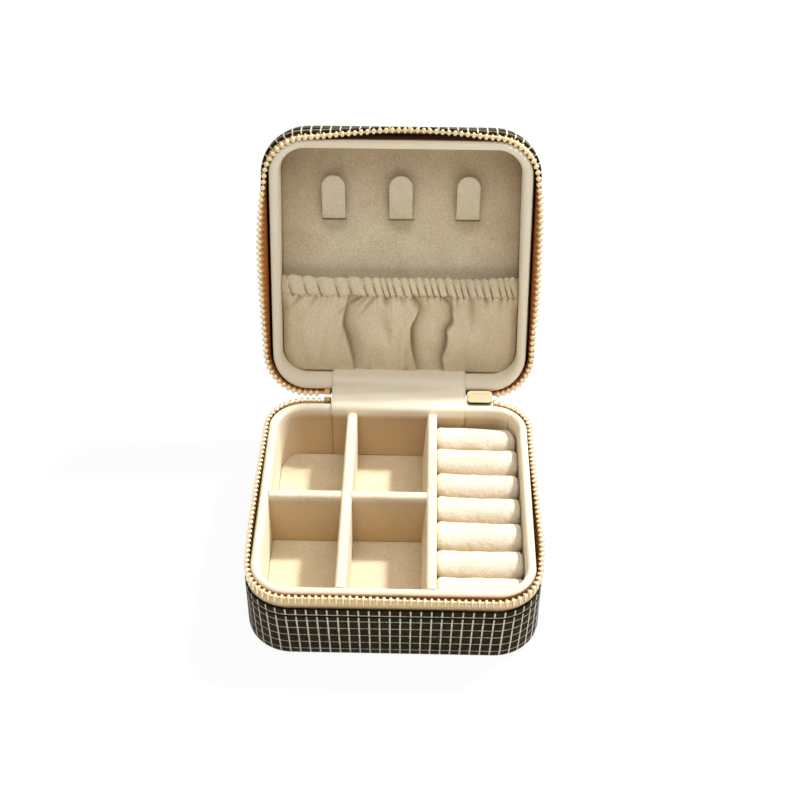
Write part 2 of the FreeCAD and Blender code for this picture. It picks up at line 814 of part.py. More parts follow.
def rounded_run(points, radii):
    """Straight edges through the points, joined by an arc of the given radius at each inner point."""
    edges = []
    start = points[0]
    for index, radius in enumerate(radii, start=1):
        corner = points[index]
        back = (points[index - 1] - corner).normalize()
        ahead = (points[index + 1] - corner).normalize()
        half_turn = math.acos(back.dot(ahead)) / 2
        reach = radius / math.tan(half_turn)
        middle = corner + (back + ahead).normalize() * (radius / math.sin(half_turn) - radius)
        edges.append(Part.LineSegment(start, corner + back * reach).toShape())
        edges.append(Part.Arc(corner + back * reach, middle, corner + ahead * reach).toShape())
        start = corner + ahead * reach
    edges.append(Part.LineSegment(start, points[-1]).toShape())
    return edges


def hinge_spine():
    """Leather hinge: it closes both bands at the back and bends round the hinge line."""
    thickness = float(S.spine_thickness)
    middle = float(S.spine_bend_radius) + thickness / 2
    y = float(half_depth) - middle
    low = float(seam_height + S.seam_gap / 2)
    far = float(lid_seam - S.seam_gap / 2)
    turn = math.radians(180 - float(S.open_angle)) / 2
    rise = middle * math.tan(math.pi / 2 - turn)
    corner = Vector(0, y, float(S.parting_height) + rise)
    path = [Vector(0, y, low), corner, lid_point(middle, far)]
    add_feature("hinge_spine", bent_strip(path, [middle], thickness, float(S.spine_width)))


def hinge_strap():
    """Lining strap over the hinge: up the base's back wall, across the gap and into the lid's recess."""
    off = float(S.strap_gap) + float(S.strap_thickness) / 2
    wall = float(inner_inset) + off
    y = float(half_depth) - wall
    z = float(rim_top) + off
    q = float(S.parting_gap) - off
    turn = math.radians(float(S.open_angle))
    meet = (z - float(S.parting_height) - q * math.cos(turn)) / math.sin(turn)
    path = [
        Vector(0, y, float(pad_top + S.strap_gap)),
        Vector(0, y, z),
        lid_point(meet, q),
        lid_point(wall, q),
        lid_point(wall, float(S.recess_depth - S.strap_gap)),
    ]
    edge = float(S.strap_edge_radius)
    radii = [edge, float(S.strap_bend_radius), edge]
    add_feature("hinge_strap", bent_strip(path, radii, float(S.strap_thickness), float(S.strap_width)))


def pocket_section(r, valley, bulge, thick, drift):
    """Level section of the pocket cloth: four swells between three folds, front and back."""
    half = float(inside_half_width - S.pocket_side_gap)
    folds = [
        -half, drift - float(S.left_fold_offset), float(S.middle_fold_offset) - drift,
        float(S.right_fold_offset) + drift, half,
    ]
    front, back = [], []
    for start, end in zip(folds, folds[1:]):
        middle = (start + end) / 2
        for run, depth in ((front, valley), (back, valley + thick)):
            run.append(Part.Arc(
                Vector(start, -r, depth), Vector(middle, -r, depth - bulge), Vector(end, -r, depth)
            ).toShape())
    caps = [
        line((side, -r, valley), (side, -r, valley + thick)) for side in (-half, half)
    ]
    return Part.Wire(front + [caps[1]] + back[::-1] + [caps[0]])


def pocket():
    """Gathered pocket: cloth with three folds, and a casing along its mouth that holds the elastic."""
    foot = float(S.pocket_foot)
    mouth = foot + float(S.pocket_height)
    seam = mouth - float(S.casing_height)
    drop = seam - foot
    cloth = float(S.cloth_thickness)
    seat = float(S.recess_depth - S.pocket_stand_off) - cloth
    swell = float(S.pocket_bulge)
    casing = float(S.casing_depth)
    flat = float(S.pocket_edge_bulge)
    raised = seat - swell
    centre_r = (seam + mouth) / 2
    sections = [pocket_section(foot, seat, flat, cloth, 0.0)]
    for height, lean, bulge, drift in POCKET_SHAPE:
        sections.append(pocket_section(
            foot + height * drop, seat - lean * swell, bulge * swell, cloth, drift * float(S.fold_drift)
        ))
    sections += [
        pocket_section(seam, raised, flat, cloth, 0.0),
        pocket_section(centre_r, raised - (casing - cloth) / 2, flat, casing, 0.0),
        pocket_section(mouth, raised, flat, cloth, 0.0),
    ]
    shell = Part.makeLoft(sections, True, True)
    half = float(inside_half_width - S.pocket_side_gap)
    band, thin = float(S.elastic_width), float(S.elastic_thickness)
    gap = float(S.elastic_gap)
    centre_q = raised + cloth / 2 - flat / 2
    tunnel = Part.makeBox(
        2 * (half + gap), band + 2 * gap, thin + 2 * gap,
        Vector(-half - gap, -centre_r - band / 2 - gap, centre_q - thin / 2 - gap),
    )
    recess = Part.Face(Part.Wire(closed_outline(float(lining_inset + S.pocket_side_gap), 0.0)))
    recess.translate(Vector(0, float(lid_centre), 0))
    room = recess.extrude(ONE_UP * float(S.recess_depth))
    add_feature("pocket_cloth", shell.cut(tunnel).common(room), lid=True)
    elastic = Part.makeBox(
        2 * half, band, thin, Vector(-half, -centre_r - band / 2, centre_q - thin / 2)
    )
    add_feature("pocket_elastic", elastic, lid=True)


def tilt_slider(item):
    """Stand a piece of the slider on the hinge line, half way between base and lid."""
    place = Vector(float(slider_offset), float(half_depth), float(S.parting_height))
    item.Placement = Placement(place, Rotation(SIDEWAYS, 90 - float(S.open_angle) / 2))
    bind(item, "Placement.Base.x", slider_offset)
    bind(item, "Placement.Base.y", half_depth)
    bind(item, "Placement.Base.z", S.parting_height)
    item.setExpression("Placement.Rotation.Angle", "90 - sizes.open_angle / 2")


def slider_body():
    """Cast slider: an outer and an inner plate joined by the wedge that parts the two rows of teeth."""
    body = new_body("slider_body")
    outer_foot = -S.slider_outer_reach
    sketch = new_sketch(body, outer_foot)
    draw_rounded_rectangle(sketch, S.slider_length, S.slider_outer_width, S.slider_corner_radius)
    add_pad(body, sketch, S.slider_plate)
    wedge_foot = outer_foot + S.slider_plate
    inner_foot = S.slider_inner_reach - S.slider_plate
    sketch = new_sketch(body, wedge_foot, S.wedge_offset)
    draw_rounded_rectangle(sketch, S.wedge_length, S.wedge_width, S.wedge_radius)
    add_pad(body, sketch, inner_foot - wedge_foot)
    sketch = new_sketch(body, inner_foot)
    draw_rounded_rectangle(sketch, S.slider_length, S.slider_inner_width, S.slider_corner_radius)
    add_pad(body, sketch, S.slider_plate)
    sketch = new_sketch(body, S.slider_inner_reach)
    draw_rounded_rectangle(sketch, S.inlay_length, S.inlay_width, S.inlay_radius)
    add_pocket(body, sketch, S.inlay_depth)
    tilt_slider(body)


def slider_bail():
    """Round bar on two posts on the slider's outer plate, along the zip."""
    inner_gap = S.knuckle_width + 2 * S.knuckle_end_gap
    length = inner_gap + 2 * S.bail_post
    level = -S.slider_outer_reach - S.bail_rise
    bar = doc.addObject("Part::Cylinder", "bail_bar")
    bind(bar, "Radius", S.bail_radius)
    bind(bar, "Height", length)
    bar.Placement = Placement(Vector(), Rotation(Vector(0, 1, 0), 90))
    bind(bar, "Placement.Base.x", length * -0.5)
    bind(bar, "Placement.Base.z", level)
    pieces = [bar]
    for start in (length * -0.5, inner_gap / 2):
        post = doc.addObject("Part::Box", "bail_post")
        bind(post, "Length", S.bail_post)
        bind(post, "Width", 2 * S.bail_radius)
        bind(post, "Height", S.bail_rise + S.bail_radius)
        bind(post, "Placement.Base.x", start)
        bind(post, "Placement.Base.y", -S.bail_radius)
        bind(post, "Placement.Base.z", level - S.bail_radius)
        pieces.append(post)
    bail = doc.addObject("Part::MultiFuse", "slider_bail")
    bail.Label = "slider_bail"
    bail.Shapes = pieces
    tilt_slider(bail)


def zip_pull():
    """Metal pull: a knuckle loose on the bail, and a flat tab that hangs straight down from it."""
    body = new_body("zip_pull")
    bore = S.bail_radius + S.knuckle_clearance
    sketch = new_sketch(body, NOTHING, plane="YZ_Plane")
    for name, radius in (("knuckle", bore + S.knuckle_wall), ("bore", bore)):
        circle = sketch.addGeometry(Part.Circle(Vector(), ONE_UP, float(radius)))
        sketch.addConstraint(Sketcher.Constraint("Coincident", circle, 3, -1, 1))
        at = sketch.addConstraint(Sketcher.Constraint("Radius", circle, float(radius)))
        name_and_bind(sketch, at, name, radius)
    add_pad(body, sketch, S.knuckle_width, midplane=True)
    tab_start = bore + S.knuckle_wall - S.knuckle_sink
    sketch = new_sketch(body, NOTHING, centre_y=-tab_start - S.knuckle_wall)
    draw_rectangle(sketch, S.knuckle_width, 2 * S.knuckle_wall)
    add_pad(body, sketch, S.pull_thickness, midplane=True)
    sketch = new_sketch(body, NOTHING, centre_y=-tab_start - S.knuckle_wall - S.pull_length / 2)
    draw_rounded_rectangle(sketch, S.pull_width, S.pull_length, S.pull_corner_radius)
    add_pad(body, sketch, S.pull_thickness, midplane=True)
    lever = float(S.slider_outer_reach + S.bail_rise)
    lean = math.radians(float(S.open_angle) / 2)
    place = Vector(
        float(slider_offset),
        float(half_depth) + lever * math.cos(lean),
        float(S.parting_height) - lever * math.sin(lean),
    )
    body.Placement = Placement(place, Rotation(SIDEWAYS, 90))
    reach = (S.slider_outer_reach + S.bail_rise).formula
    half_turn = "sizes.open_angle * 0.5deg"
    bind(body, "Placement.Base.x", slider_offset)
    body.setExpression("Placement.Base.y", f"{half_depth.formula} + ({reach}) * cos({half_turn})")
    body.setExpression("Placement.Base.z", f"sizes.parting_height - ({reach}) * sin({half_turn})")


def export_parts():
    """Check every object, then write one file for each piece of the case."""
    doc.recompute()
    failed = [item.Name for item in doc.Objects if {"Invalid", "Error"} & set(item.State)]
    if failed:
        raise RuntimeError(f"failed objects: {failed}")
    kinds = ("PartDesign::Body", "Part::Feature", "Part::MultiFuse")
    pieces = [item for item in doc.Objects if item.TypeId in kinds]
    for piece in pieces:
        if piece.Shape.isNull() or not piece.Shape.isValid() or not piece.Shape.Solids:
            raise RuntimeError(f"no valid solid in {piece.Label}")
    os.makedirs("parts", exist_ok=True)
    for piece in pieces:
        piece.Shape.exportStep(f"parts/{piece.Label}.step")
        print(piece.Label, len(piece.Shape.Solids), round(piece.Shape.Volume, 2))


base_leather_cover()
base_bottom_panel()
base_board_tray()
leather_band("base_leather_band", seam_height + S.seam_gap / 2)
base_liner_wall()
base_floor_pad()
dividers()
ring_rolls()
lid_leather_cover()
lid_flat_layer("lid_top_foam", S.lid_inset + S.lid_edge_radius, foam_top - S.foam_thickness, foam_top)
lid_board_tray()
open_lid(leather_band("lid_leather_band", S.zip_reveal, lid_centre))
lid_liner_rim()
lid_flat_layer("lid_back_panel", lining_inset, S.recess_depth, panel_top)
necklace_hooks()
pocket()
zips()
hinge_spine()
hinge_strap()
slider_body()
slider_bail()
zip_pull()
export_parts()
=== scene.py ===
import functools
import json
import math

import bmesh
import bpy
import numpy as np
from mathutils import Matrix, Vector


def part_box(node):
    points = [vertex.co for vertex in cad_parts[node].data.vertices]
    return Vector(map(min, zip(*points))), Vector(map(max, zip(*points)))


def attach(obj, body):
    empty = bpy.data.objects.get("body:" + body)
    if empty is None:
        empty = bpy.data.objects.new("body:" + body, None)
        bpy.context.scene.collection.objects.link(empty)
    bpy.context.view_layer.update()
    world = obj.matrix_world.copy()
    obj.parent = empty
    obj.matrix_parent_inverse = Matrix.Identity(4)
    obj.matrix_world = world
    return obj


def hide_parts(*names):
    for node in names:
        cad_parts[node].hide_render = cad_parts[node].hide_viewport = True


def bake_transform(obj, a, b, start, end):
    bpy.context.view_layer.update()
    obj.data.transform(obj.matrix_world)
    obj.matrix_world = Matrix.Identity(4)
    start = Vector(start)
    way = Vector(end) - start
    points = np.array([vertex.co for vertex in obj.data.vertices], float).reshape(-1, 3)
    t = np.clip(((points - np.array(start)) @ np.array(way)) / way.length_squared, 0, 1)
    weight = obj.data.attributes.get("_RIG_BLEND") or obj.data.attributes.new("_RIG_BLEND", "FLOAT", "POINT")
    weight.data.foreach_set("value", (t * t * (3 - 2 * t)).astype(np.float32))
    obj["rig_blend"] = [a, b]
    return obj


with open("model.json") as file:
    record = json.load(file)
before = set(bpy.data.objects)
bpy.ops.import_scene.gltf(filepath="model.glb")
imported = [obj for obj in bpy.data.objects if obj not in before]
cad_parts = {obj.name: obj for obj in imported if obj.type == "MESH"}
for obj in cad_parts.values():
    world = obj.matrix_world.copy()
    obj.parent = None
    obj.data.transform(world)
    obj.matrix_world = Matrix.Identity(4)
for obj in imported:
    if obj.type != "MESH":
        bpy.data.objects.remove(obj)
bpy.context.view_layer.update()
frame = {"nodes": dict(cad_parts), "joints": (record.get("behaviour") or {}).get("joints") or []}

# An open travel jewellery case: check leather outside, cream suede inside, a metal zip all round.
# Shapes are worked out in millimetres. Pieces of the base use the frame's own axes. Pieces of the lid
# are drawn closed, as x, y and the height above the parting plane, and on_lid turns them open.

MM = 0.001


def box_mm(node):
    """Lowest and highest corner of a piece of the frame, in millimetres."""
    return [np.array(corner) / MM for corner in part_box(node)]


hinge = next(joint for joint in frame["joints"] if joint["name"] == "lid_hinge")
OPEN_ANGLE = math.radians(hinge["range_deg"][1])
PARTING = hinge["pos_m"][2] / MM
HALF_WIDTH, HALF_DEPTH, COVER_TOP = box_mm("base_leather_cover")[1]
BAND_FOOT, BAND_TOP = (corner[2] for corner in box_mm("base_leather_band"))
LINER_FOOT, RIM_TOP = (corner[2] for corner in box_mm("base_liner_wall"))
FLOOR_TOP = box_mm("base_floor_pad")[1][2]
LINER_INSET = HALF_WIDTH - box_mm("base_liner_wall")[1][0]
LINING_INSET = HALF_WIDTH - box_mm("base_floor_pad")[1][0]
HINGE_HALF_WIDTH = box_mm("hinge_strap")[1][0]

# Case outline and leather
CORNER = 16.0
LEATHER = 1.0
COVER_EDGE_ROUND = 3.2
COVER_TURN_IN = 10.0
FOLDED_EDGE = 0.45
CUT_EDGE = 0.1
SEWN_EDGE = 0.3
LEATHER_DRAW_IN = 0.6
BAND_WINDOW = 0.2
BAND_DROP = 0.9
HALF_SEAM = (BAND_FOOT - COVER_TOP) / 2

# Check, and the plain folded edges
CHECKS_ROUND_CASE = 108
FIRST_CHECK_LINE = 2.6
CHECK_SHIFT = 0.2
CHECK_TAPER = 0.035
BAND_CHECK_LINE = 0.35
BASE_BAND_CHECKS, LID_BAND_CHECKS = 1.4, 0.75
PLAIN_EDGE, PLAIN_EDGE_FADE = 0.3, 0.2
PLAIN_SEAM, PLAIN_SEAM_FADE = 0.5, 0.15

# Lid, as heights above the parting plane when closed
LID_INSET = 0.9
LID_BAND_EDGE = 2.7
LID_BAND_RISE = 1.5
LID_CORNER_SLACK, LID_FRONT_SLACK = 0.8, 0.4
SLACK_SPREAD = 8.0
LID_TAPE_BEND = 4.3
LID_SEAM = 9.2
LID_TOP = 17.6
LID_EDGE_ROUND = 5.5
LID_CROWN = 0.7
RIM_GAP = 0.3
RECESS = 10.4
PANEL_BACK = 12.7

# Padded lining
RIM_WIDTH = 3.65
RIM_ROUND = 1.75
WALL_SWELL = 0.25
WALL_PRESSED = 0.95
RIM_OVERHANG, OVERHANG_LEVEL = 0.5, 24.5
RIM_UNEVEN, RIM_WAVE = 0.06, 9.0
RIM_ZONE = 2.0
LID_RIM_SHIFT = 0.8
LID_SIDE_PRESSED = 0.6
FRONT_RIM_SHIFT, FRONT_SHIFT_DEPTH, FRONT_SHIFT_FADE = 0.35, 7.0, 5.0
# Painted shade on the lining: on the back wall below the rim, in the gap between the rim and the zip tape
# (less of it at the back), and in the sewn joint's dent
BACK_WALL_SHADE, SHADE_DEPTH, SHADE_FADE = 0.5, 1.5, 3.0
BACK_GAP_SHADE, GAP_SHADE_DEPTH, GAP_SHADE_FADE = 0.3, 0.45, 0.9
JOINT_X, JOINT_HALF_WIDTH, JOINT_DENT, JOINT_DIP, JOINT_SHADE = 40.6, 0.3, 0.35, 0.25, 0.4
PRESSED_INSET = LINING_INSET - WALL_PRESSED
LID_LINING_INSET = LINING_INSET - LID_SIDE_PRESSED

# Zip
TAPE_INSET = 1.1
TAPE_THICKNESS = 0.7
TAPE_DROP = 1.2
LID_TAPE_DROP = 0.6
TAPE_HEM, LID_TAPE_HEM = 0.1, 1.2
TOOTH_PITCH = 2.2
TOOTH_HEIGHT, LID_TOOTH_HEIGHT = 3.3, 1.7
TOOTH_SLIM, LID_TOOTH_SLIM = 0.75, 0.95
TOOTH_DROP = 0.04
NOTCH_DROP = 2.4
LEAN_POWER = 1.3
# How far the loose edge of each tape leans out, at distances along the outline from the front's middle
BASE_LEAN = np.array([
    (-160, -0.3), (-130, -0.2), (-64, 0.15), (-56, -0.1), (-46, 0.3), (-40, 0.6), (-32, 0.8), (-18, 0.7),
    (0, 1.05), (18, 1.3), (34, 1.35), (41, 1.2), (47, 0.8), (53, 0.3), (59, 0.4), (68, 1.0), (80, 0.7),
    (93, 0.45), (106, 0.1), (160, 0.0),
]).T
LID_LEAN = np.array([
    (-160, 0.7), (-145, 0.7), (-127, 1.0), (-114, 1.6), (-98, 2.2), (-86, 2.3), (-72, 1.5), (-60, 0.0),
    (-47, -1.6), (-34, -1.5), (-20, -0.1), (0, 1.4), (20, 0.5), (34, -0.9), (46, -1.2), (56, -0.2),
    (68, 1.2), (90, 1.8), (106, 1.6), (120, 0.8), (132, 0.6), (160, 0.6),
]).T


# Surfaces

SIDE_X = HALF_WIDTH - CORNER
SIDE_Y = HALF_DEPTH - CORNER
QUARTER = CORNER * math.pi / 2
RUN_LENGTHS = np.array([
    SIDE_X, QUARTER, 2 * SIDE_Y, QUARTER, 2 * SIDE_X, QUARTER, 2 * SIDE_Y, QUARTER, SIDE_X,
])
RUN_ENDS = np.cumsum(RUN_LENGTHS)
PERIMETER = RUN_ENDS[-1]
CHECK = PERIMETER / CHECKS_ROUND_CASE
STEPS_ROUND_CASE = 240
RUN_ANCHORS = np.array([
    (0, -HALF_DEPTH), (SIDE_X, -SIDE_Y), (HALF_WIDTH, -SIDE_Y), (SIDE_X, SIDE_Y), (SIDE_X, HALF_DEPTH),
    (-SIDE_X, SIDE_Y), (-HALF_WIDTH, SIDE_Y), (-SIDE_X, -SIDE_Y), (-SIDE_X, -HALF_DEPTH),
])


def outline_at(s):
    """Place and outward direction on the case's outline, s along it from the middle of the front.

    A straight run starts at its anchor and follows the heading. A corner run turns the heading, and
    lies one corner radius outwards of its anchor, which is the corner's centre.
    """
    s = np.mod(s, PERIMETER)
    run = np.minimum(np.searchsorted(RUN_ENDS, s), len(RUN_ENDS) - 1)
    along = s - (RUN_ENDS - RUN_LENGTHS)[run]
    turning = run % 2 == 1
    heading = (run // 2) * math.pi / 2 + np.where(turning, along / CORNER, 0.0)
    outward = np.stack([np.sin(heading), -np.cos(heading)], axis=-1)
    forward = np.stack([np.cos(heading), np.sin(heading)], axis=-1)
    step = np.where(turning[..., None], CORNER * outward, along[..., None] * forward)
    return RUN_ANCHORS[run] + step, outward


def closed_run():
    """Even places all round the outline."""
    return np.arange(STEPS_ROUND_CASE) / STEPS_ROUND_CASE * PERIMETER


def corner_reach(y, inset):
    """Half width of the outline at this y, drawn in by the inset: less in its round corners."""
    radius = CORNER - inset
    into = np.clip(np.abs(y) - SIDE_Y, 0, radius - 0.01)
    return SIDE_X + np.sqrt(radius ** 2 - into ** 2)


def sweep(s, inset, height):
    """Grid of points: each row is a profile of insets and heights, carried along the outline."""
    place, outward = outline_at(s)
    inset, height = np.broadcast_arrays(np.atleast_2d(inset), np.atleast_2d(height))
    inset = np.broadcast_to(inset, (len(s), inset.shape[1]))
    height = np.broadcast_to(height, inset.shape)
    flat = place[:, None] - outward[:, None] * inset[..., None]
    return np.concatenate([flat, height[..., None]], axis=-1)


def on_lid(points):
    """Turn closed points (x, y, height over the parting plane) back about the hinge line."""
    reach = HALF_DEPTH - points[..., 1]
    rise = points[..., 2]
    y = HALF_DEPTH - reach * math.cos(OPEN_ANGLE) + rise * math.sin(OPEN_ANGLE)
    z = PARTING + reach * math.sin(OPEN_ANGLE) + rise * math.cos(OPEN_ANGLE)
    return np.stack([points[..., 0], y, z], axis=-1)


def lid_spot(reach, rise):
    """A point of the open lid in the middle of its width: y and z."""
    return on_lid(np.array([0.0, HALF_DEPTH - reach, rise]))[1:]


def unit(ways):
    """The same directions with length 1."""
    return ways / np.linalg.norm(ways, axis=-1, keepdims=True)


def length_along(line):
    """Length along a line at each of its points."""
    return np.concatenate([[0], np.cumsum(np.linalg.norm(np.diff(line, axis=0), axis=1))])


def corner_arcs(points, radii, back, ahead, steps):
    """Arc of the given radius at each point, tangent to the ways back and ahead."""
    back, ahead = unit(back), unit(ahead)
    half = np.arccos(np.clip((back * ahead).sum(1), -1, 1)) / 2
    centre = points + unit(back + ahead) * (radii / np.sin(half))[:, None]
    start, end = (points + way * (radii / np.tan(half))[:, None] - centre for way in (back, ahead))
    first = np.arctan2(start[:, 1], start[:, 0])
    turn = np.arctan2(end[:, 1], end[:, 0]) - first
    turn = (turn + math.pi) % (2 * math.pi) - math.pi
    angle = first[:, None] + turn[:, None] * np.linspace(0, 1, steps)
    arc = np.stack([np.cos(angle), np.sin(angle)], axis=-1) * radii[:, None, None]
    return (centre[:, None] + arc).reshape(-1, 2)


def resample(line, spacing):
    """The same line with points added on its long runs."""
    length = length_along(line)
    added = np.linspace(0, length[-1], max(2, int(length[-1] / spacing)))
    near = np.abs(added[:, None] - length).min(axis=1) < spacing / 2
    places = np.sort(np.concatenate([length, added[~near]]))
    return np.stack([np.interp(places, length, line[:, axis]) for axis in (0, 1)], axis=-1)


def rounded_loop(corners, steps=6, spacing=2.0):
    """Closed outline through corners (a, b, radius), an arc at each corner, lines between them."""
    corners = np.array(corners, float)
    points, radii = corners[:, :2], corners[:, 2]
    back, ahead = (np.roll(points, way, axis=0) - points for way in (1, -1))
    loop = corner_arcs(points, radii, back, ahead, steps)
    return resample(np.vstack([loop, loop[:1]]), spacing)[:-1]


def rounded_path(points, radii, spacing, steps=8):
    """Open line through points, with an arc of the given radius at each inner point."""
    points = np.array(points, float)
    back, ahead = points[:-2] - points[1:-1], points[2:] - points[1:-1]
    arcs = corner_arcs(points[1:-1], np.array(radii, float), back, ahead, steps)
    return resample(np.vstack([points[:1], arcs, points[-1:]]), spacing)


def unevenness(a, b, wave):
    """Soft irregular swell from -1 to 1: three sines whose wavelengths share no common length."""
    a, b = a / wave, b / wave
    first, second = np.sin(2.1 * a + 1.3 * b), np.sin(3.7 * a - 2.9 * b + 1.7)
    return (first + second + np.sin(4.3 * b + 1.1 * a + 0.6)) / 3


def smooth_step(x):
    """From 0 to 1, level at both ends: 3 x^2 - 2 x^3."""
    x = np.clip(x, 0, 1)
    return x * x * (3 - 2 * x)


def bell(x):
    """Bell curve: e to the power of -x^2."""
    return np.exp(-x ** 2)


def round_off(away, radius):
    """Fall of a quarter circle this far away from an edge: 1 at the edge, 0 from the radius on."""
    near = np.clip(1 - away / radius, 0, 1)
    return 1 - np.sqrt(1 - near ** 2)


def grid_points(x, y, z):
    """Points from coordinates that share one grid."""
    return np.stack(np.broadcast_arrays(x, y, z), axis=-1)


def two_sided(x, y, face, back):
    """Rows of thin loops: the face from left to right, and the back again."""
    return np.concatenate([grid_points(x, y, face), grid_points(x, y, back)[:, ::-1]], axis=1)


def curve_through(s, table):
    """Smooth curve through a table of places and values: a cubic between each pair of neighbours."""
    places, values = table
    slopes = np.gradient(values, places)
    at = np.clip(np.searchsorted(places, s) - 1, 0, len(places) - 2)
    span = places[at + 1] - places[at]
    t = (s - places[at]) / span
    start = (1 + 2 * t) * (1 - t) ** 2 * values[at] + t * (1 - t) ** 2 * span * slopes[at]
    return start + t * t * (3 - 2 * t) * values[at + 1] + t * t * (t - 1) * span * slopes[at + 1]


def from_front(s):
    """Distance along the outline from the middle of the front, on either side."""
    return np.abs((s + PERIMETER / 2) % PERIMETER - PERIMETER / 2)


def back_share(s):
    """1 along the back of the outline, 0 at its sides and front, turning at the back corners."""
    return smooth_step((from_front(s) - SIDE_X - QUARTER - 2 * SIDE_Y) / QUARTER)


def front_share(s):
    """1 along the front of the outline, 0 at its sides and back, turning at the front corners."""
    return 1 - smooth_step((from_front(s) - SIDE_X) / QUARTER)


# Pieces

def new_object(name, data):
    """Object at the origin, linked to the scene."""
    made = bpy.data.objects.new(name, data)
    bpy.context.scene.collection.objects.link(made)
    return made


def add_piece(name, points, material, closed=False, thin=False, uv=None, uv_name="check", sharp=50,
              crease=None):
    """Mesh of a grid of points, one lump or several: rows by columns.

    The columns close on themselves. The rows close too, or end in caps: a flat face, or where the
    loop is a thin strip, quads between its two sides. uv holds each row strip's start and end values.
    The last keyword holds each point's share of painted shade on cloth and tape, and its share of
    plain unprinted edge on leather.
    """
    points = points if points.ndim == 4 else points[None]
    lumps, rows, columns, _ = points.shape
    strip_rows = np.arange(rows if closed else rows - 1)
    row, column = (grid.ravel() for grid in np.meshgrid(strip_rows, np.arange(columns), indexing="ij"))
    after, beside = (row + 1) % rows, (column + 1) % columns
    here, there = row * columns, after * columns
    quads = np.stack([here + column, here + beside, there + beside, there + column], axis=1)
    faces = [quads]
    if not closed and thin:
        near = np.arange(columns // 2 - 1)
        strip = np.stack([near, near + 1, columns - 2 - near, columns - 1 - near], axis=1)
        faces += [strip, strip + (rows - 1) * columns]
    first = np.arange(lumps)[:, None, None] * rows * columns
    every = (np.concatenate(faces)[None] + first).reshape(-1, 4).tolist()
    flat_caps = not closed and not thin
    if flat_caps:
        ring = np.arange(columns)
        for start in first.ravel():
            every += [(ring + start).tolist(), (ring + start + (rows - 1) * columns).tolist()]
    mesh = bpy.data.meshes.new(name)
    mesh.from_pydata((points.reshape(-1, 3) * MM).tolist(), [], every)
    if uv is not None:
        begin, end = uv
        values = np.zeros((len(mesh.loops), 2))
        corners = [begin[row, column], begin[row, column + 1], end[row, column + 1], end[row, column]]
        values[:len(quads) * 4] = np.stack(corners, axis=1).reshape(-1, 2)
        if flat_caps:
            values[len(quads) * 4:] = np.concatenate([begin[0, :-1], end[-1, :-1]])
        mesh.uv_layers.new(name=uv_name).data.foreach_set("uv", values.ravel())
    shell = bmesh.new()
    shell.from_mesh(mesh)
    bmesh.ops.recalc_face_normals(shell, faces=shell.faces)
    shell.to_mesh(mesh)
    shell.free()
    if crease is not None:
        set_painted_shade_or_plain(mesh, np.broadcast_to(crease, points.shape[:3]))
    mesh.polygons.foreach_set("use_smooth", np.ones(len(mesh.polygons), bool))
    mesh.set_sharp_from_angle(angle=math.radians(sharp))
    mesh.materials.append(material)
    return new_object(name, mesh)


def set_painted_shade_or_plain(mesh, values):
    """Store, for the finishes to read, each point's share of painted shade on cloth and tape, and of plain
    unprinted edge on leather.
    """
    mesh.attributes.new("crease", "FLOAT", "POINT").data.foreach_set("value", np.ravel(values))


def dress(piece, body, slot, *nodes):
    """The piece rides on a body and stands for nodes of the frame, which it hides. Its slot is not used."""
    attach(piece, body)
    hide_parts(*nodes)


def strips(uv):
    """Start and end values of the strips between the rows of one grid of values."""
    return uv[:-1], uv[1:]


def wrapped_uv(u, v):
    """Grid of values for rows u and columns v."""
    return np.stack(np.meshgrid(u, v, indexing="ij"), axis=-1)


# Finishes

MIX_A, MIX_B = 6, 7
# The output that a node is used for, where that isn't its first
MAIN_OUTPUT = {
    "ShaderNodeAttribute": "Fac", "ShaderNodeTexWave": "Fac", "ShaderNodeTexCoord": "Object",
    "ShaderNodeMix": 2,
}


def linear(code):
    """Linear colour of an sRGB hex value."""
    part = np.array([int(code[at:at + 2], 16) for at in (1, 3, 5)]) / 255
    return (*np.where(part <= 0.04045, part / 12.92, ((part + 0.055) / 1.055) ** 2.4), 1.0)


def per_metre(size_mm):
    """Texture scale that gives a feature of this size."""
    return 1 / (size_mm * MM)


def feed(node, links):
    """Link sources to a node's inputs. A source is an output, or a node whose main output is meant."""
    for name, source in links.items():
        if isinstance(source, bpy.types.Node):
            source = source.outputs[MAIN_OUTPUT.get(source.bl_idname, 0)]
        node.id_data.links.new(source, node.inputs[name])


def add_node(tree, kind, settings=None, links=None):
    """Add a node. Settings are its own properties or the values of its inputs, links feed its inputs."""
    node = tree.nodes.new("ShaderNode" + kind)
    if kind == "Mix":
        node.data_type = "RGBA"
    for name, value in (settings or {}).items():
        if isinstance(name, int) or name in node.inputs:
            node.inputs[name].default_value = linear(value) if isinstance(value, str) else value
        else:
            setattr(node, name, value)
    feed(node, links or {})
    return node


def new_finish(name, **values):
    """A material with its Principled shader's plain values set."""
    finish = bpy.data.materials.new(name)
    finish.use_nodes = True
    shader = finish.node_tree.nodes["Principled BSDF"]
    for socket, value in values.items():
        value = linear(value) if isinstance(value, str) else value
        shader.inputs[socket.replace("_", " ")].default_value = value
    add = functools.partial(add_node, finish.node_tree)
    return finish, shader, add, add("TexCoord")


def pebbled(add, place):
    """Relief of the leather's fine pebble."""
    pebble = add("TexVoronoi", {"Scale": per_metre(0.75)}, {"Vector": place})
    return add("Bump", {"Strength": 0.35, "Distance": 0.12 * MM}, {"Height": pebble})


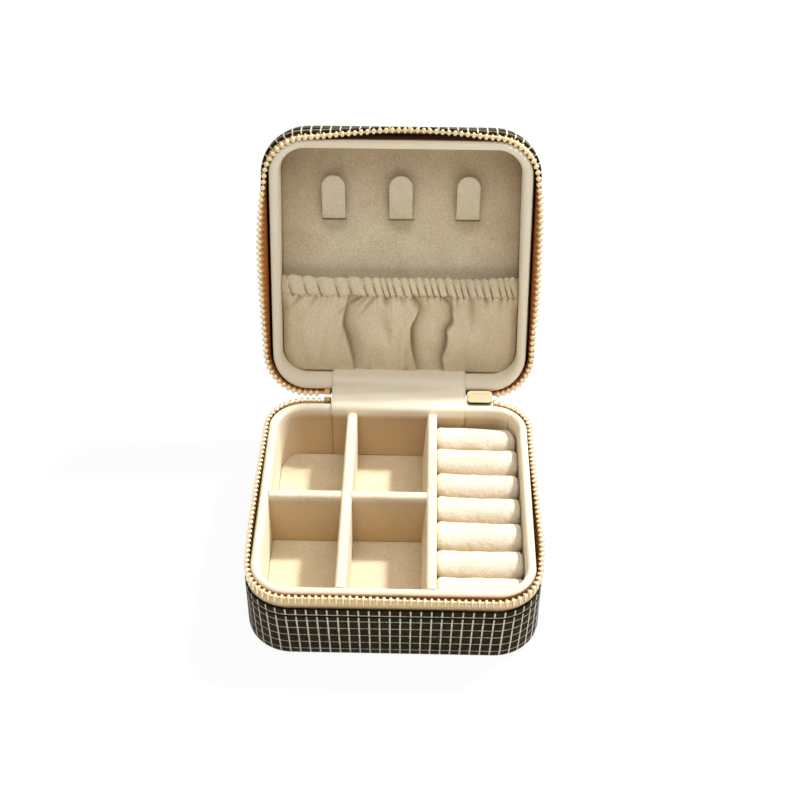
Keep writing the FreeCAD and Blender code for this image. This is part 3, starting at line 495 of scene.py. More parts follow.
def check_leather():
    """Grained leather printed with a windowpane check.

    The eye sees near-black, faintly brown leather with a fine pebble, and an off-white check whose
    upright lines are stronger than the level ones. The ink sits on the grain, so the lines are broken.
    Folded edges are plain and darker.
    """
    finish, shader, add, place = new_finish(
        "printed_check_leather", Roughness=0.55, Specular_IOR_Level=0.08)
    fold = add("Attribute", {"attribute_name": "crease"})
    printed = add("Math", {"operation": "SUBTRACT", 0: 1.0}, {1: fold})
    speckle = add("TexNoise", {"Scale": per_metre(0.7), "Detail": 3.0}, {"Vector": place})
    patch = add("TexNoise", {"Scale": per_metre(7.0), "Detail": 2.0}, {"Vector": place})
    cells = add("UVMap", {"uv_map": "check"})
    shake = add("VectorMath", {"operation": "MULTIPLY_ADD", 1: (0.06, 0.06, 0), 2: (-0.03, -0.03, 0)},
                {0: speckle.outputs["Color"]})
    shaken = add("VectorMath", {"operation": "ADD"}, {0: cells, 1: shake})
    axes = add("SeparateXYZ", links={"Vector": shaken})
    marks = {}
    for axis, half_line, strength in (("X", 0.24, 1.0), ("Y", 0.18, 0.55)):
        off = add("Math", {"operation": "PINGPONG", 1: 0.5}, {0: axes.outputs[axis]})
        marks[len(marks)] = add("MapRange", {
            "interpolation_type": "SMOOTHSTEP", "From Min": half_line / CHECK * 0.7,
            "From Max": half_line / CHECK * 1.35, "To Min": strength, "To Max": 0.0,
        }, {"Value": off})
    lines = add("Math", {"operation": "MAXIMUM"}, marks)
    worn = add("MapRange", {"From Min": 0.3, "From Max": 0.52, "To Min": 0.5}, {"Value": speckle})
    taken = add("Math", {"operation": "MULTIPLY"}, {0: lines, 1: worn})
    ink = add("Math", {"operation": "MULTIPLY"}, {0: taken, 1: printed})
    rubbed = add("MapRange", {"From Min": 0.44, "From Max": 0.62, "To Max": 0.8}, {"Value": speckle})
    mottled = add("Math", {"operation": "MULTIPLY_ADD", 1: 0.45}, {0: patch, 2: rubbed})
    tone = add("Math", {"operation": "MULTIPLY"}, {0: mottled, 1: printed})
    ground = add("Mix", {MIX_A: "#0A0702", MIX_B: "#30260F"}, {0: tone})
    colour = add("Mix", {MIX_B: "#E4DABF"}, {0: ink, MIX_A: ground})
    feed(shader, {"Base Color": colour, "Normal": pebbled(add, place)})
    return finish


def plain_leather():
    """The same leather unprinted, as on the underside: dull black-brown with a fine pebble."""
    finish, shader, add, place = new_finish(
        "plain_grained_leather", Roughness=0.6, Specular_IOR_Level=0.12)
    patch = add("TexNoise", {"Scale": per_metre(6.0)}, {"Vector": place})
    colour = add("Mix", {MIX_A: "#1A140D", MIX_B: "#332A1F"}, {0: patch})
    feed(shader, {"Base Color": colour, "Normal": pebbled(add, place)})
    return finish


def with_painted_light(add, colour, codes):
    """Colour that turns through the colours of painted light and shade, one after another, as the painted
    value goes from 0 to 1.
    """
    for step, code in enumerate(codes):
        depth = add("Attribute", {"attribute_name": "crease"})
        start, end = step / len(codes), (step + 1) / len(codes)
        share = add("MapRange", {"From Min": start, "From Max": end}, {"Value": depth})
        colour = add("Mix", {MIX_B: code}, {0: share, MIX_A: colour})
    return colour


def suede(name, light, dark, nap, relief=0.3, sheen=0.35, painted_shade_colours=()):
    """Brushed microfibre suede.

    The eye sees a matt cloth with a short nap: a fine grain of light and dark, wider patches where the
    nap lies over, and a pale bloom at grazing angles. The nap is drawn coarse so that it shows. Where a
    piece asks for it, painted shade darkens the cloth through the given browns: in creases, in
    recesses and on faces turned from the light.
    """
    finish, shader, add, place = new_finish(
        name, Roughness=0.95, Specular_IOR_Level=0.15, Sheen_Weight=sheen, Sheen_Roughness=0.5,
        Sheen_Tint="#FFF6E4",
    )
    grain = add("TexNoise", {"Scale": per_metre(nap), "Detail": 4.0, "Roughness": 0.65},
                {"Vector": place})
    swirl = add("TexNoise", {"Scale": per_metre(11.0), "Detail": 3.0, "Distortion": 0.8},
                {"Vector": place})
    spread = add("MapRange", {"From Min": 0.3, "From Max": 0.7}, {"Value": grain})
    lie = add("Math", {"operation": "MULTIPLY", 1: 0.5}, {0: swirl})
    blend = add("Math", {"operation": "MULTIPLY_ADD", 1: 0.6}, {0: spread, 2: lie})
    shade = add("MapRange", {"From Min": 0.2, "From Max": 0.9}, {"Value": blend})
    brushed = add("Mix", {MIX_A: dark, MIX_B: light}, {0: shade})
    bump = add("Bump", {"Strength": relief, "Distance": 0.1 * MM}, {"Height": grain})
    feed(shader, {"Base Color": with_painted_light(add, brushed, painted_shade_colours), "Normal": bump})
    return finish


def twill_tape():
    """Woven polyester zip tape: tan, with a fine slanted rib that catches the light, matt.

    Its inner side, towards the lining, is painted orange-brown as a glow of warm bounce light, and painted
    darker down to the seam as shade. The outer side takes a little painted shade low down.
    """
    finish, shader, add, place = new_finish("woven_twill_tape", Roughness=0.9, Specular_IOR_Level=0.1)
    run = add("UVMap", {"uv_map": "tape"})
    turned = add("Mapping", {"Rotation": (0, 0, math.radians(35))}, {"Vector": run})
    rib = add("TexWave", {"Scale": 0.62, "Distortion": 0.6, "Detail": 1.0}, {"Vector": turned})
    fleck = add("TexNoise", {"Scale": per_metre(1.5)}, {"Vector": place})
    mixed = add("Math", {"operation": "MULTIPLY"}, {0: rib, 1: fleck})
    woven = add("Mix", {MIX_A: "#E4C28A", MIX_B: "#FAEAC8"}, {0: mixed})
    bump = add("Bump", {"Strength": 0.25, "Distance": 0.08 * MM}, {"Height": rib})
    # The tape's painted light: an orange-brown glow, then deep brown shade
    feed(shader, {"Base Color": with_painted_light(add, woven, ("#DC8238", "#2E0C02")), "Normal": bump})
    return finish


def gilt_brass(name, roughness, light, dark, metallic=1.0):
    """Pale gold plate on cast brass: bright, warm, softened by fine tumbling marks.

    Where it is less metallic, a cream lacquer lies over it.
    """
    finish, shader, add, place = new_finish(name, Metallic=metallic)
    marks = add("TexNoise", {"Scale": per_metre(0.6), "Detail": 3.0}, {"Vector": place})
    gloss = add("MapRange", {"To Min": roughness - 0.07, "To Max": roughness + 0.1}, {"Value": marks})
    colour = add("Mix", {MIX_A: dark, MIX_B: light}, {0: marks})
    feed(shader, {"Roughness": gloss, "Base Color": colour})
    return finish


def plain_filler(name, light, dark, feature):
    """Hidden inner stuff, matt and mottled: pressed board, foam or elastic webbing."""
    finish, shader, add, place = new_finish(name, Roughness=0.95)
    mottle = add("TexNoise", {"Scale": per_metre(feature), "Detail": 4.0}, {"Vector": place})
    feed(shader, {"Base Color": add("Mix", {MIX_A: dark, MIX_B: light}, {0: mottle})})
    return finish


FLOCK = {"nap": 0.55, "relief": 0.5}
LONG_FLOCK = {"nap": 0.6, "relief": 0.5}
# The smooth suedes take painted shade: mid brown where shade falls on the back wall and the strap, deep
# brown in the shaded gaps beside the zip and deep in the lid's recess
SMOOTH = {"nap": 0.35, "relief": 0.12, "sheen": 0.25, "painted_shade_colours": ("#C4A983", "#6B431B")}
leather = check_leather()
underside_leather = plain_leather()
cream = suede("cream_brushed_suede", "#E8DABF", "#CAB592", **FLOCK)
# Brown colours of painted shade: on the dividers' faces, towards the grooves between the rolls, on the
# panel's top and sides and round the tongues, and in the pocket's folds and pleats
divider_cloth = suede("cream_divider_suede", "#F7ECD6", "#DFCEAC", **FLOCK, painted_shade_colours=("#B08A50",))
roll_cloth = suede("long_nap_roll_suede", "#F4EEE0", "#D5C5A5", nap=0.55, relief=1.0,
                   painted_shade_colours=("#B08A50",))
lining_cloth = suede("smooth_lining_suede", "#F6ECD6", "#ECDDBE", **SMOOTH)
# The lid's rim and the strap take a lighter copy of the lining suede: painted light, as they stand in the
# lid's shade
rim_cloth_painted_lighter = suede("smooth_rim_suede_painted_lighter", "#FBF1DC", "#F3E6C9", **SMOOTH)
thread_cloth = suede("twisted_sewing_thread", "#FBF3E2", "#EFE2C8", nap=0.2)
panel_cloth = suede("beige_panel_suede", "#EFE2C9", "#C9B48A", **LONG_FLOCK, painted_shade_colours=("#745324",))
pocket_cloth = suede("beige_pocket_suede", "#F8EBD1", "#DBC79E", **LONG_FLOCK, painted_shade_colours=("#735226",))
hook_cloth = suede("stiffened_tongue_suede", "#E5DAC3", "#CFBF9C", nap=0.6)
tape_weave = twill_tape()
tooth_gilt = gilt_brass("tumbled_gilt_brass", 0.3, "#FBECC6", "#EDD29C", metallic=0.55)
bright_gilt = gilt_brass("bright_gilt_brass", 0.3, "#FFF4D8", "#F8E6BC")
slider_gilt = gilt_brass("polished_gilt_brass", 0.34, "#B0A283", "#968765")
stop_brass = gilt_brass("aged_brass", 0.35, "#D9C394", "#B89C68")
board = plain_filler("pressed_grey_board", "#A59E90", "#7F786B", 1.2)
foam = plain_filler("open_cell_foam", "#F0E8C8", "#D8CCA0", 0.8)
webbing = plain_filler("knitted_elastic", "#F4F0E6", "#DAD4C6", 0.6)


# Leather outside

def leather_ring(name, s, closed, loop, height_lines, plain, turn=None, lean=0.0, level=None):
    """Leather wall: a closed profile along the outline; the check counts along it and up it.

    On the base the upright lines lean together towards the foot, most at the sides.
    """
    points = sweep(s, loop[:, 0] - lean, loop[:, 1] if level is None else level)
    run = np.append(s, PERIMETER) if closed else s
    cells = wrapped_uv(run / CHECK + CHECK_SHIFT, height_lines)
    if turn is None:
        points[..., 0] *= 1 - LEATHER_DRAW_IN / HALF_WIDTH
        turns = PERIMETER / (2 * math.pi)
        down = CHECK_TAPER * (1 - np.append(loop[:, 1], loop[0, 1]) / COVER_TOP)
        cells[..., 0] += (turns * np.sin(run / turns) / CHECK)[:, None] * down
    else:
        points = turn(points)
    return add_piece(name, points, leather, closed, not closed, strips(cells), crease=plain)


def tape_lean(level, edge, bend, reach):
    """How far tape, teeth and band lean out: nothing at the bend, all of the reach at the edge."""
    return np.clip((level - bend) / (edge - bend), 0, None) ** LEAN_POWER * reach


def slack(s):
    """How far the lid's leather gives way inwards: at its two front corners, and less between them."""
    corner = np.clip((from_front(s) - SIDE_X + SLACK_SPREAD) / (QUARTER + 2 * SLACK_SPREAD), 0, 1)
    return LID_CORNER_SLACK * np.maximum(np.sin(math.pi * corner), LID_FRONT_SLACK * front_share(s))


def base_leather():
    """Base cover: a closed profile along the outline, from the seam down the wall and in underneath."""
    loop = rounded_loop([
        (0, COVER_TOP, FOLDED_EDGE), (0, 0, COVER_EDGE_ROUND), (COVER_TURN_IN, 0, CUT_EDGE),
        (COVER_TURN_IN, LEATHER, CUT_EDGE), (LEATHER, LEATHER, COVER_EDGE_ROUND - LEATHER),
        (LEATHER, COVER_TOP, FOLDED_EDGE),
    ], spacing=0.6)
    lines = (FIRST_CHECK_LINE - length_along(np.vstack([loop, loop[:1]]))) / CHECK
    plain = smooth_step((loop[:, 1] - COVER_TOP + PLAIN_SEAM) / PLAIN_SEAM_FADE)
    cover = leather_ring("base_cover_leather", closed_run(), True, loop, lines, plain)
    dress(cover, "base", "grid_leather", "base_leather_cover")


def bands():
    """Narrow bands beside the zip, open at the back where the hinge spine runs.

    Their level lines count from the seam. The base's folded edge is plain. The lid's band leans out with
    the tape, and rises along the front.
    """
    reach = PERIMETER / 2 - HINGE_HALF_WIDTH - BAND_WINDOW
    s = np.linspace(-reach, reach, 220)

    def profile(seam, edge):
        corners = [(0, seam, SEWN_EDGE), (0, edge, FOLDED_EDGE),
                   (LEATHER, edge, FOLDED_EDGE), (LEATHER, seam, SEWN_EDGE)]
        return corners if edge > seam else [corners[at] for at in (1, 0, 3, 2)]

    def lines(loop, seam, checks):
        up = np.abs(np.append(loop[:, 1], loop[0, 1]) - seam)
        return (up - BAND_CHECK_LINE) / (checks * CHECK)

    top = BAND_TOP - BAND_DROP
    loop = rounded_loop(profile(BAND_FOOT, top), spacing=0.3)
    plain = smooth_step((PLAIN_EDGE - np.abs(loop[:, 1] - top)) / PLAIN_EDGE_FADE)
    height_lines = lines(loop, BAND_FOOT, BASE_BAND_CHECKS)
    band = leather_ring("base_band_leather", s, False, loop, height_lines, plain)
    dress(band, "base", "grid_leather", "base_leather_band")
    foot = LID_SEAM - HALF_SEAM
    loop = rounded_loop(profile(foot, LID_BAND_EDGE), spacing=0.3)
    near_edge = (foot - loop[:, 1]) / (foot - LID_BAND_EDGE)
    level = loop[:, 1] - LID_BAND_RISE * front_share(s)[:, None] * near_edge
    lean = tape_lean(level, LID_TAPE_DROP, LID_TAPE_BEND, curve_through(s, LID_LEAN)[:, None])
    lean = lean - slack(s)[:, None] * (1 - near_edge)
    height_lines = lines(loop, foot, LID_BAND_CHECKS)
    band = leather_ring("lid_band_leather", s, False, loop, height_lines, 0.0, on_lid, lean, level)
    dress(band, "lid", "grid_leather", "lid_leather_band")


def lid_leather():
    """Lid cover: wall, full round edge and a softly crowned top, and the same again inside it.

    Rows run from the middle of the inner face, down the wall, round its lower edge and up to the
    middle of the outer face. Inside the round, each row is the outline scaled towards the middle. Only
    the outer face is printed.
    """
    s = closed_run()
    lower = LID_SEAM + HALF_SEAM
    turn = np.linspace(0, math.pi / 2, 9)
    flat_inset = LID_INSET + LID_EDGE_ROUND
    shares = np.linspace(1, 0.02, 14)[1:]

    def half(shift):
        """Insets, heights and scales from the wall's foot to the middle, for one face of the leather."""
        radius = LID_EDGE_ROUND - shift
        inset = np.concatenate([[LID_INSET + shift], flat_inset - radius * np.cos(turn)])
        height = np.concatenate([[lower + FOLDED_EDGE], LID_TOP - LID_EDGE_ROUND + radius * np.sin(turn)])
        scale = np.concatenate([np.ones(len(inset)), shares])
        dome = LID_TOP - shift + LID_CROWN * (1 - shares ** 2)
        return np.append(inset, np.full(len(shares), flat_inset)), np.append(height, dome), scale

    edge_turn = np.linspace(0, math.pi, 5)[1:-1]
    edge = (LID_INSET + LEATHER / 2 + LEATHER / 2 * np.cos(edge_turn),
            lower + FOLDED_EDGE - FOLDED_EDGE * np.sin(edge_turn), np.ones(len(edge_turn)))
    inset, height, scale = (np.concatenate([inner[::-1], middle, outer])
                            for inner, middle, outer in zip(half(LEATHER), edge, half(0)))
    points = sweep(s, inset + slack(s)[:, None], height).transpose(1, 0, 2)
    points[..., :2] *= scale[:, None, None]
    along = length_along(np.stack([inset, height], axis=-1))
    flat_row = len(inset) - len(shares) - 1
    outward = (HALF_WIDTH - flat_inset + along[flat_row] - along) / CHECK
    begin, end = strips(wrapped_uv(outward, np.append(s, PERIMETER) / CHECK + CHECK_SHIFT)[..., ::-1])
    ring = np.concatenate([points, points[:, :1]], axis=1)
    top_uv = ring[..., :2] / CHECK + CHECK_SHIFT
    begin[flat_row:], end[flat_row:] = top_uv[flat_row:-1], top_uv[flat_row + 1:]
    plain = np.arange(len(inset)) < len(half(0)[0]) + len(edge_turn) + 1
    cover = add_piece("lid_cover_leather", on_lid(points), leather, uv=(begin, end),
                      crease=plain[:, None].astype(float))
    dress(cover, "lid", "grid_leather", "lid_leather_cover")


def strip_points(path, thickness, x, lift=0.0):
    """A bent strip: the path's two sides as one thin loop, repeated at each x; lift moves it outwards."""
    ahead = unit(np.gradient(path, axis=0))
    normal = np.stack([-ahead[:, 1], ahead[:, 0]], axis=-1)
    thickness = np.broadcast_to(np.atleast_1d(thickness), x.shape)[:, None, None]
    middle = path[None] + normal[None] * np.broadcast_to(lift, (len(x), len(path)))[..., None]
    sides = [middle + normal * thickness / 2, (middle - normal * thickness / 2)[:, ::-1]]
    loop = np.concatenate(sides, axis=1)
    across = np.broadcast_to(x[:, None, None], (*loop.shape[:2], 1))
    return np.concatenate([across, loop], axis=-1)


SPINE_THICKNESS = 0.9
SPINE_BEND = 0.2
SPINE_FLEX = 2.5


def hinge_spine():
    """Leather hinge at the back: up the base, round the hinge line and along the lid's back."""
    middle = SPINE_BEND + SPINE_THICKNESS / 2
    half_turn = (math.pi - OPEN_ANGLE) / 2
    bend = (HALF_DEPTH - middle, PARTING + middle / math.tan(half_turn))
    low = (HALF_DEPTH - middle, BAND_FOOT)
    far = lid_spot(middle, LID_SEAM - HALF_SEAM)
    path = rounded_path([low, bend, far], [middle], spacing=0.6)
    x = np.linspace(-HINGE_HALF_WIDTH, HINGE_HALF_WIDTH, 25)
    points = strip_points(path, SPINE_THICKNESS, x)
    upright_only = strips(wrapped_uv(x / CHECK, np.full(points.shape[1] + 1, 0.5)))
    spine = add_piece("spine_leather", points, leather, thin=True, uv=upright_only)
    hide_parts("hinge_spine")
    start = (0, HALF_DEPTH * MM, (PARTING - SPINE_FLEX) * MM)
    end = np.append(0, lid_spot(0, SPINE_FLEX)) * MM
    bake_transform(spine, "base", "lid", start=start, end=tuple(end))


# Padded lining

def rim_profile(foot, top):
    """Section of a padded wall whose free edge is fully round."""
    inner = LINER_INSET + RIM_WIDTH
    loop = rounded_loop([
        (LINER_INSET, foot, SEWN_EDGE), (LINER_INSET, top, RIM_ROUND),
        (inner, top, RIM_ROUND), (inner, foot, SEWN_EDGE),
    ], steps=9)
    return loop, smooth_step((loop[:, 0] - LINER_INSET) / RIM_WIDTH)


def liner_wall():
    """Padded lining of the base with its rounded rim: a closed profile along the outline.

    The inner face swells a little between rim and floor, and a sewn joint dents it at the back right.
    At the front and sides the padding is pressed thinner than at the back, and the rim rolls outwards.
    """
    loop, inside = rim_profile(LINER_FOOT, RIM_TOP)
    into_corner = math.acos((JOINT_X - SIDE_X) / (CORNER - LINER_INSET - RIM_WIDTH))
    joint = 2 * SIDE_Y + SIDE_X + QUARTER + CORNER * into_corner
    s = np.sort(np.concatenate([closed_run(), joint + np.linspace(-0.8, 0.8, 9)]))
    back, front = back_share(s)[:, None], front_share(s)[:, None]
    pressed = 1 - back
    dent = bell((s - joint) / JOINT_HALF_WIDTH)[:, None]
    level = loop[:, 1]
    up = np.clip((level - LINER_FOOT) / (RIM_TOP - LINER_FOOT), 0, 1)
    near_top = smooth_step((level - RIM_TOP + RIM_ZONE) / RIM_ZONE)
    padding = WALL_SWELL * np.sin(math.pi * up) - WALL_PRESSED * pressed - JOINT_DENT * dent
    inset = loop[:, 0] + inside * padding
    inset -= (1 - inside) * RIM_OVERHANG * smooth_step((level - OVERHANG_LEVEL) / RIM_ZONE) * pressed
    upper = smooth_step((level - RIM_TOP + FRONT_SHIFT_DEPTH) / FRONT_SHIFT_FADE)
    inset -= FRONT_RIM_SHIFT * front * upper
    uneven = RIM_UNEVEN * unevenness(s[:, None], loop[:, 0], RIM_WAVE)
    height = level + (uneven - JOINT_DIP * dent) * near_top
    # Painted shade on the rim's outer side down in the gap by the tape, and on the inner face below the rim
    # along the back wall and in the joint's dent
    painted_rim_shade = smooth_step((RIM_TOP - GAP_SHADE_DEPTH - level) / GAP_SHADE_FADE) * (BACK_GAP_SHADE + (1 - BACK_GAP_SHADE) * pressed)
    low = smooth_step((RIM_TOP - SHADE_DEPTH - level) / SHADE_FADE)
    crease = (1 - inside) * painted_rim_shade + inside * low * (back * BACK_WALL_SHADE + JOINT_SHADE * dent)
    points = sweep(s, inset, height)
    wall = add_piece("base_lining_wall", points, lining_cloth, closed=True, crease=crease)
    dress(wall, "base", "cream_suede", "base_liner_wall")


LID_RIM_ZONE = 3.0
# Painted shade: on the rim's outer side in the gap by the tape, and on its inner side deep in the recess
LID_GAP_SHADE_DEPTH, LID_GAP_SHADE_FADE = 1.5, 0.8
LID_SHADE, LID_SHADE_DEPTH, LID_SHADE_FADE = 0.8, 7.0, 1.5
INNER_SHIFT_SHARE = 0.3


def lid_rim():
    """Padded rim of the lid's recess, round along its open edge.

    Its outer side stands back from the tape along the front, and its inner side is pressed thinner
    towards the hinge. Both sides carry painted shade below the round.
    """
    loop, inside = rim_profile(PANEL_BACK, RIM_GAP)
    s = closed_run()
    outside, level = 1 - inside, loop[:, 1]
    uneven = RIM_UNEVEN * unevenness(s[:, None], loop[:, 0], RIM_WAVE)
    height = level + uneven * smooth_step((LID_RIM_ZONE - level) / 2)
    front, back = front_share(s)[:, None], back_share(s)[:, None]
    follow = INNER_SHIFT_SHARE + (1 - INNER_SHIFT_SHARE) * outside
    lower = smooth_step((from_front(s) - SIDE_X - QUARTER) / (2 * SIDE_Y))[:, None]
    inset = loop[:, 0] + LID_RIM_SHIFT * (follow * front - outside * back)
    inset -= LID_SIDE_PRESSED * inside * (lower - back)
    painted_rim_shade = smooth_step((level - LID_GAP_SHADE_DEPTH) / LID_GAP_SHADE_FADE) * outside
    painted_rim_shade += LID_SHADE * smooth_step((level - LID_SHADE_DEPTH) / LID_SHADE_FADE) * inside
    points = on_lid(sweep(s, inset, height))
    rim = add_piece("lid_padded_rim", points, rim_cloth_painted_lighter, closed=True, crease=painted_rim_shade)
    dress(rim, "lid", "cream_suede", "lid_liner_rim")


CUSHION_ROLL = 0.9
CUSHION_UNEVEN, CUSHION_WAVE = 0.07, 8.0
DENT_DEPTH, DENT_HALF_WIDTH, DENT_END = 1.3, 0.4, 0.6


def cushion(side, front, back, face, under, dents=()):
    """Flat padded panel: rows from front to back, each as wide as the rounded outline is there.

    The face rolls over at its border by a quarter circle, is faintly uneven, and takes any dents.
    """
    low, high = front - HALF_DEPTH, HALF_DEPTH - back
    spread = np.sin(np.linspace(-math.pi / 2, math.pi / 2, 120))
    y = (low + high) / 2 + (high - low) / 2 * spread
    y = np.sort(np.concatenate([y, *[middle + np.linspace(-1, 1, 11) for _, middle, _ in dents]]))
    half = corner_reach(y, side)[:, None]
    x = half * spread
    y = y[:, None]
    border = np.minimum(half - np.abs(x), np.minimum(y - low, high - y))
    rise = CUSHION_UNEVEN * unevenness(x, y, CUSHION_WAVE)
    rise = rise - CUSHION_ROLL * round_off(border, CUSHION_ROLL)
    for centre, middle, width in dents:
        across = smooth_step((width / 2 - np.abs(x - centre)) / DENT_END)
        rise = rise - DENT_DEPTH * bell((y - middle) / DENT_HALF_WIDTH) * across
    return two_sided(x, y, face + math.copysign(1, face - under) * rise, under)


def floor_pad():
    """Floor of the base: a cushion that fills the lining's walls."""
    points = cushion(PRESSED_INSET, PRESSED_INSET, LINING_INSET, FLOOR_TOP, LINER_FOOT)
    pad = add_piece("base_floor_cushion", points, cream, thin=True)
    dress(pad, "base", "cream_suede", "base_floor_pad")


HOOK_WIDTH = 8.4
HOOK_LENGTH = 16.6
HOOK_ROOT = 65.8
HOOK_LIFT, ROOT_LIFT, ROOT_STEP = 3.4, 1.2, 2.0
HOOK_THICKNESS, TIP_THINNER = 1.4, 0.55
HOOK_SINK = 0.4
# Powers that make the tongue's oval section square at its sides and flat on its faces
SIDE_POWER, FACE_POWER = 0.2, 0.5
SLIT_SHIFT, SLIT_SPARE = 0.2, 0.5
HOOKS = {"hook_left": -24.4, "hook_middle": 0.0, "hook_right": 24.4}
# Painted shade on the panel, at the top, the sides and the right, and painted shadow round the tongues:
# strength, where it starts and over what length it grows
TOP_PAINTED_SHADE, TOP_SHADE_Y, TOP_SHADE_FADE = 0.24, 2.0, 40.0
SIDE_PAINTED_SHADE, SIDE_SHADE_X, SIDE_SHADE_FADE = 0.22, 24.0, 16.0
RIGHT_PAINTED_SHADE = 0.05
HOOK_PAINTED_SHADOW, HOOK_SHADOW_FADE = 0.3, 1.4


def lid_panel():
    """Suede panel of the recess, with painted shade at the top, at the sides and on the right, and painted
    shadow round the tongues.
    """
    root = HALF_DEPTH - HOOK_ROOT
    slits = [(centre, root + SLIT_SHIFT, HOOK_WIDTH + SLIT_SPARE) for centre in HOOKS.values()]
    points = cushion(LID_LINING_INSET, LINING_INSET, LINING_INSET, RECESS, PANEL_BACK, slits)
    x, y = points[..., 0], points[..., 1]
    shade = TOP_PAINTED_SHADE * smooth_step((TOP_SHADE_Y - y) / TOP_SHADE_FADE)
    shade += RIGHT_PAINTED_SHADE * smooth_step(x / HALF_WIDTH)
    shade += SIDE_PAINTED_SHADE * smooth_step((np.abs(x) - SIDE_SHADE_X) / SIDE_SHADE_FADE)
    # Painted shadow round each tongue, falling off away from its edge
    past = y - np.clip(y, root - HOOK_LENGTH + HOOK_WIDTH / 2, root)
    for centre in HOOKS.values():
        away = np.clip(np.hypot(x - centre, past) - HOOK_WIDTH / 2, 0, None)
        shade += HOOK_PAINTED_SHADOW * np.exp(-away / HOOK_SHADOW_FADE)
    panel = add_piece("lid_suede_panel", on_lid(points), panel_cloth, thin=True, crease=shade)
    dress(panel, "lid", "panel_suede", "lid_back_panel")


# Each divider: the axis it runs along (0 is x, 1 is y), its two faces at the top, and how far the face on
# the low side spreads at its foot
DIVIDERS = {
    "divider_long_left": (1, -18.95, -15.15, 0.9), "divider_long_right": (1, 10.9, 14.5, 1.6),
    "divider_short_left": (0, -3.15, 0.65, 0.0), "divider_short_middle": (0, -3.15, 0.65, 0.0),
}
# Painted shade on the faces of a divider that runs across, and of one that runs front to back
FACE_SHADE = (0.8, 0.25)
FACE_SHADE_TOP, FACE_SHADE_FADE, FACE_SHADE_SHARE = 0.97, 0.1, 0.6
DIVIDER_FOOT_ROUND, DIVIDER_TOP_ROUND = 0.4, 0.7
DIVIDER_SWELL = 0.04
END_PINCH, END_PINCH_LENGTH = 0.05, 2.0
TOP_UNEVEN, TOP_WAVE, TOP_SHARE = 0.12, 7.0, 0.15
BACK_END_ROUND = 1.6
TOP_SINK = 0.6
DIVIDER_TUCK = 0.2


def dividers():
    """Padded boards with a round top: a section across, carried along the divider's length.

    The section is a rounded loop that may spread towards its foot on the low side. The cloth swells a
    little halfway up, draws in at both ends, and the top rounds off at the back end.
    """
    for node, (run_axis, near_face, far_face, spread) in DIVIDERS.items():
        low, high = box_mm(node)
        start, end = low[run_axis], high[run_axis]
        if low[1] < -HALF_DEPTH + LINING_INSET + 1:
            start -= WALL_PRESSED + FRONT_RIM_SHIFT + DIVIDER_TUCK
        if low[0] < -HALF_WIDTH + LINING_INSET + 1:
            start -= WALL_PRESSED
        middle, half = (near_face + far_face) / 2, (far_face - near_face) / 2
        loop = rounded_loop([
            (-half, low[2], DIVIDER_FOOT_ROUND), (half, low[2], DIVIDER_FOOT_ROUND),
            (half, high[2], half * DIVIDER_TOP_ROUND), (-half, high[2], half * DIVIDER_TOP_ROUND),
        ], steps=9, spacing=1.5)
        along = np.linspace(start, end, max(24, int((end - start) / 1.2)))[:, None]
        from_end = np.minimum(along - start, end - along)
        drawn = 1 - END_PINCH * (1 - smooth_step(from_end / END_PINCH_LENGTH))
        up = np.clip((loop[:, 1] - low[2]) / (high[2] - low[2]), 0, 1)
        cross = loop[:, 0] * drawn * (1 - DIVIDER_SWELL + DIVIDER_SWELL * np.sin(math.pi * up))
        cross = cross - spread * (1 - up) * (loop[:, 0] < 0)
        top = smooth_step((up - 1 + TOP_SHARE) / TOP_SHARE)
        height = loop[:, 1] - TOP_UNEVEN * top * (TOP_SINK + unevenness(along, 0.0, TOP_WAVE))
        flat = along, middle + cross
        if run_axis == 1:
            flat = flat[::-1]
            height = height - round_off(end - along, BACK_END_ROUND) * up
        # Painted shade on the divider's faces, below its top
        shade = FACE_SHADE[run_axis] * smooth_step((FACE_SHADE_TOP - up) / FACE_SHADE_FADE)
        shade = shade * (FACE_SHADE_SHARE + (1 - FACE_SHADE_SHARE) * (1 - up))
        piece = add_piece(node + "_padded", grid_points(*flat, height), divider_cloth, crease=shade)
        dress(piece, "base", "cream_suede", node)


# Where one roll meets the next, from the back to the front, at the left and at the right end
ROLL_EDGES = np.array([
    (42.4, 31.5, 18.4, 6.6, -5.8, -19.5, -32.0, -44.1),
    (42.4, 30.9, 17.6, 5.9, -6.5, -19.7, -32.0, -44.1),
])
ROLL_TOP_ROUND, ROLL_REAR_ROUND, ROLL_FOOT_ROUND = 4.6, 2.6, 0.8
ROLL_FOOT_DRAW_IN = 0.5
ROLL_END, ROLL_END_DROP, ROLL_END_PINCH = 1.6, 0.12, 0.04
LEFT_END_SHORTER = 3
ROLL_UNEVEN, ROLL_WAVE = 0.14, 6.0
ROLL_GAP = 0.08
ROLL_SPARE = 0.5
ROLL_LIFT = 1.9
ROLL_TUCK = 0.35
ROLL_HEADROOM = 0.3
REAR_ROLL_DROP, REAR_DROP_START, REAR_DROP_RUN = 0.8, 0.4, 0.5
# Painted shade towards the groove beside each roll: strength, depth below the top where it starts, and its
# run
ROLL_SHADE, ROLL_SHADE_DEPTH, ROLL_SHADE_FADE = 0.5, 1.0, 5.0
# Simulation: frames, how far a point may move, the even mesh's spacing, and the height held at the foot
ROLL_FRAMES, ROLL_CAP, ROLL_VOXEL, ROLL_HELD = 20, 0.9, 0.9, 1.0


def points_of(mesh):
    """Places of a mesh's points, in metres."""
    places = np.empty(len(mesh.vertices) * 3)
    mesh.vertices.foreach_get("co", places)
    return places.reshape(-1, 3)


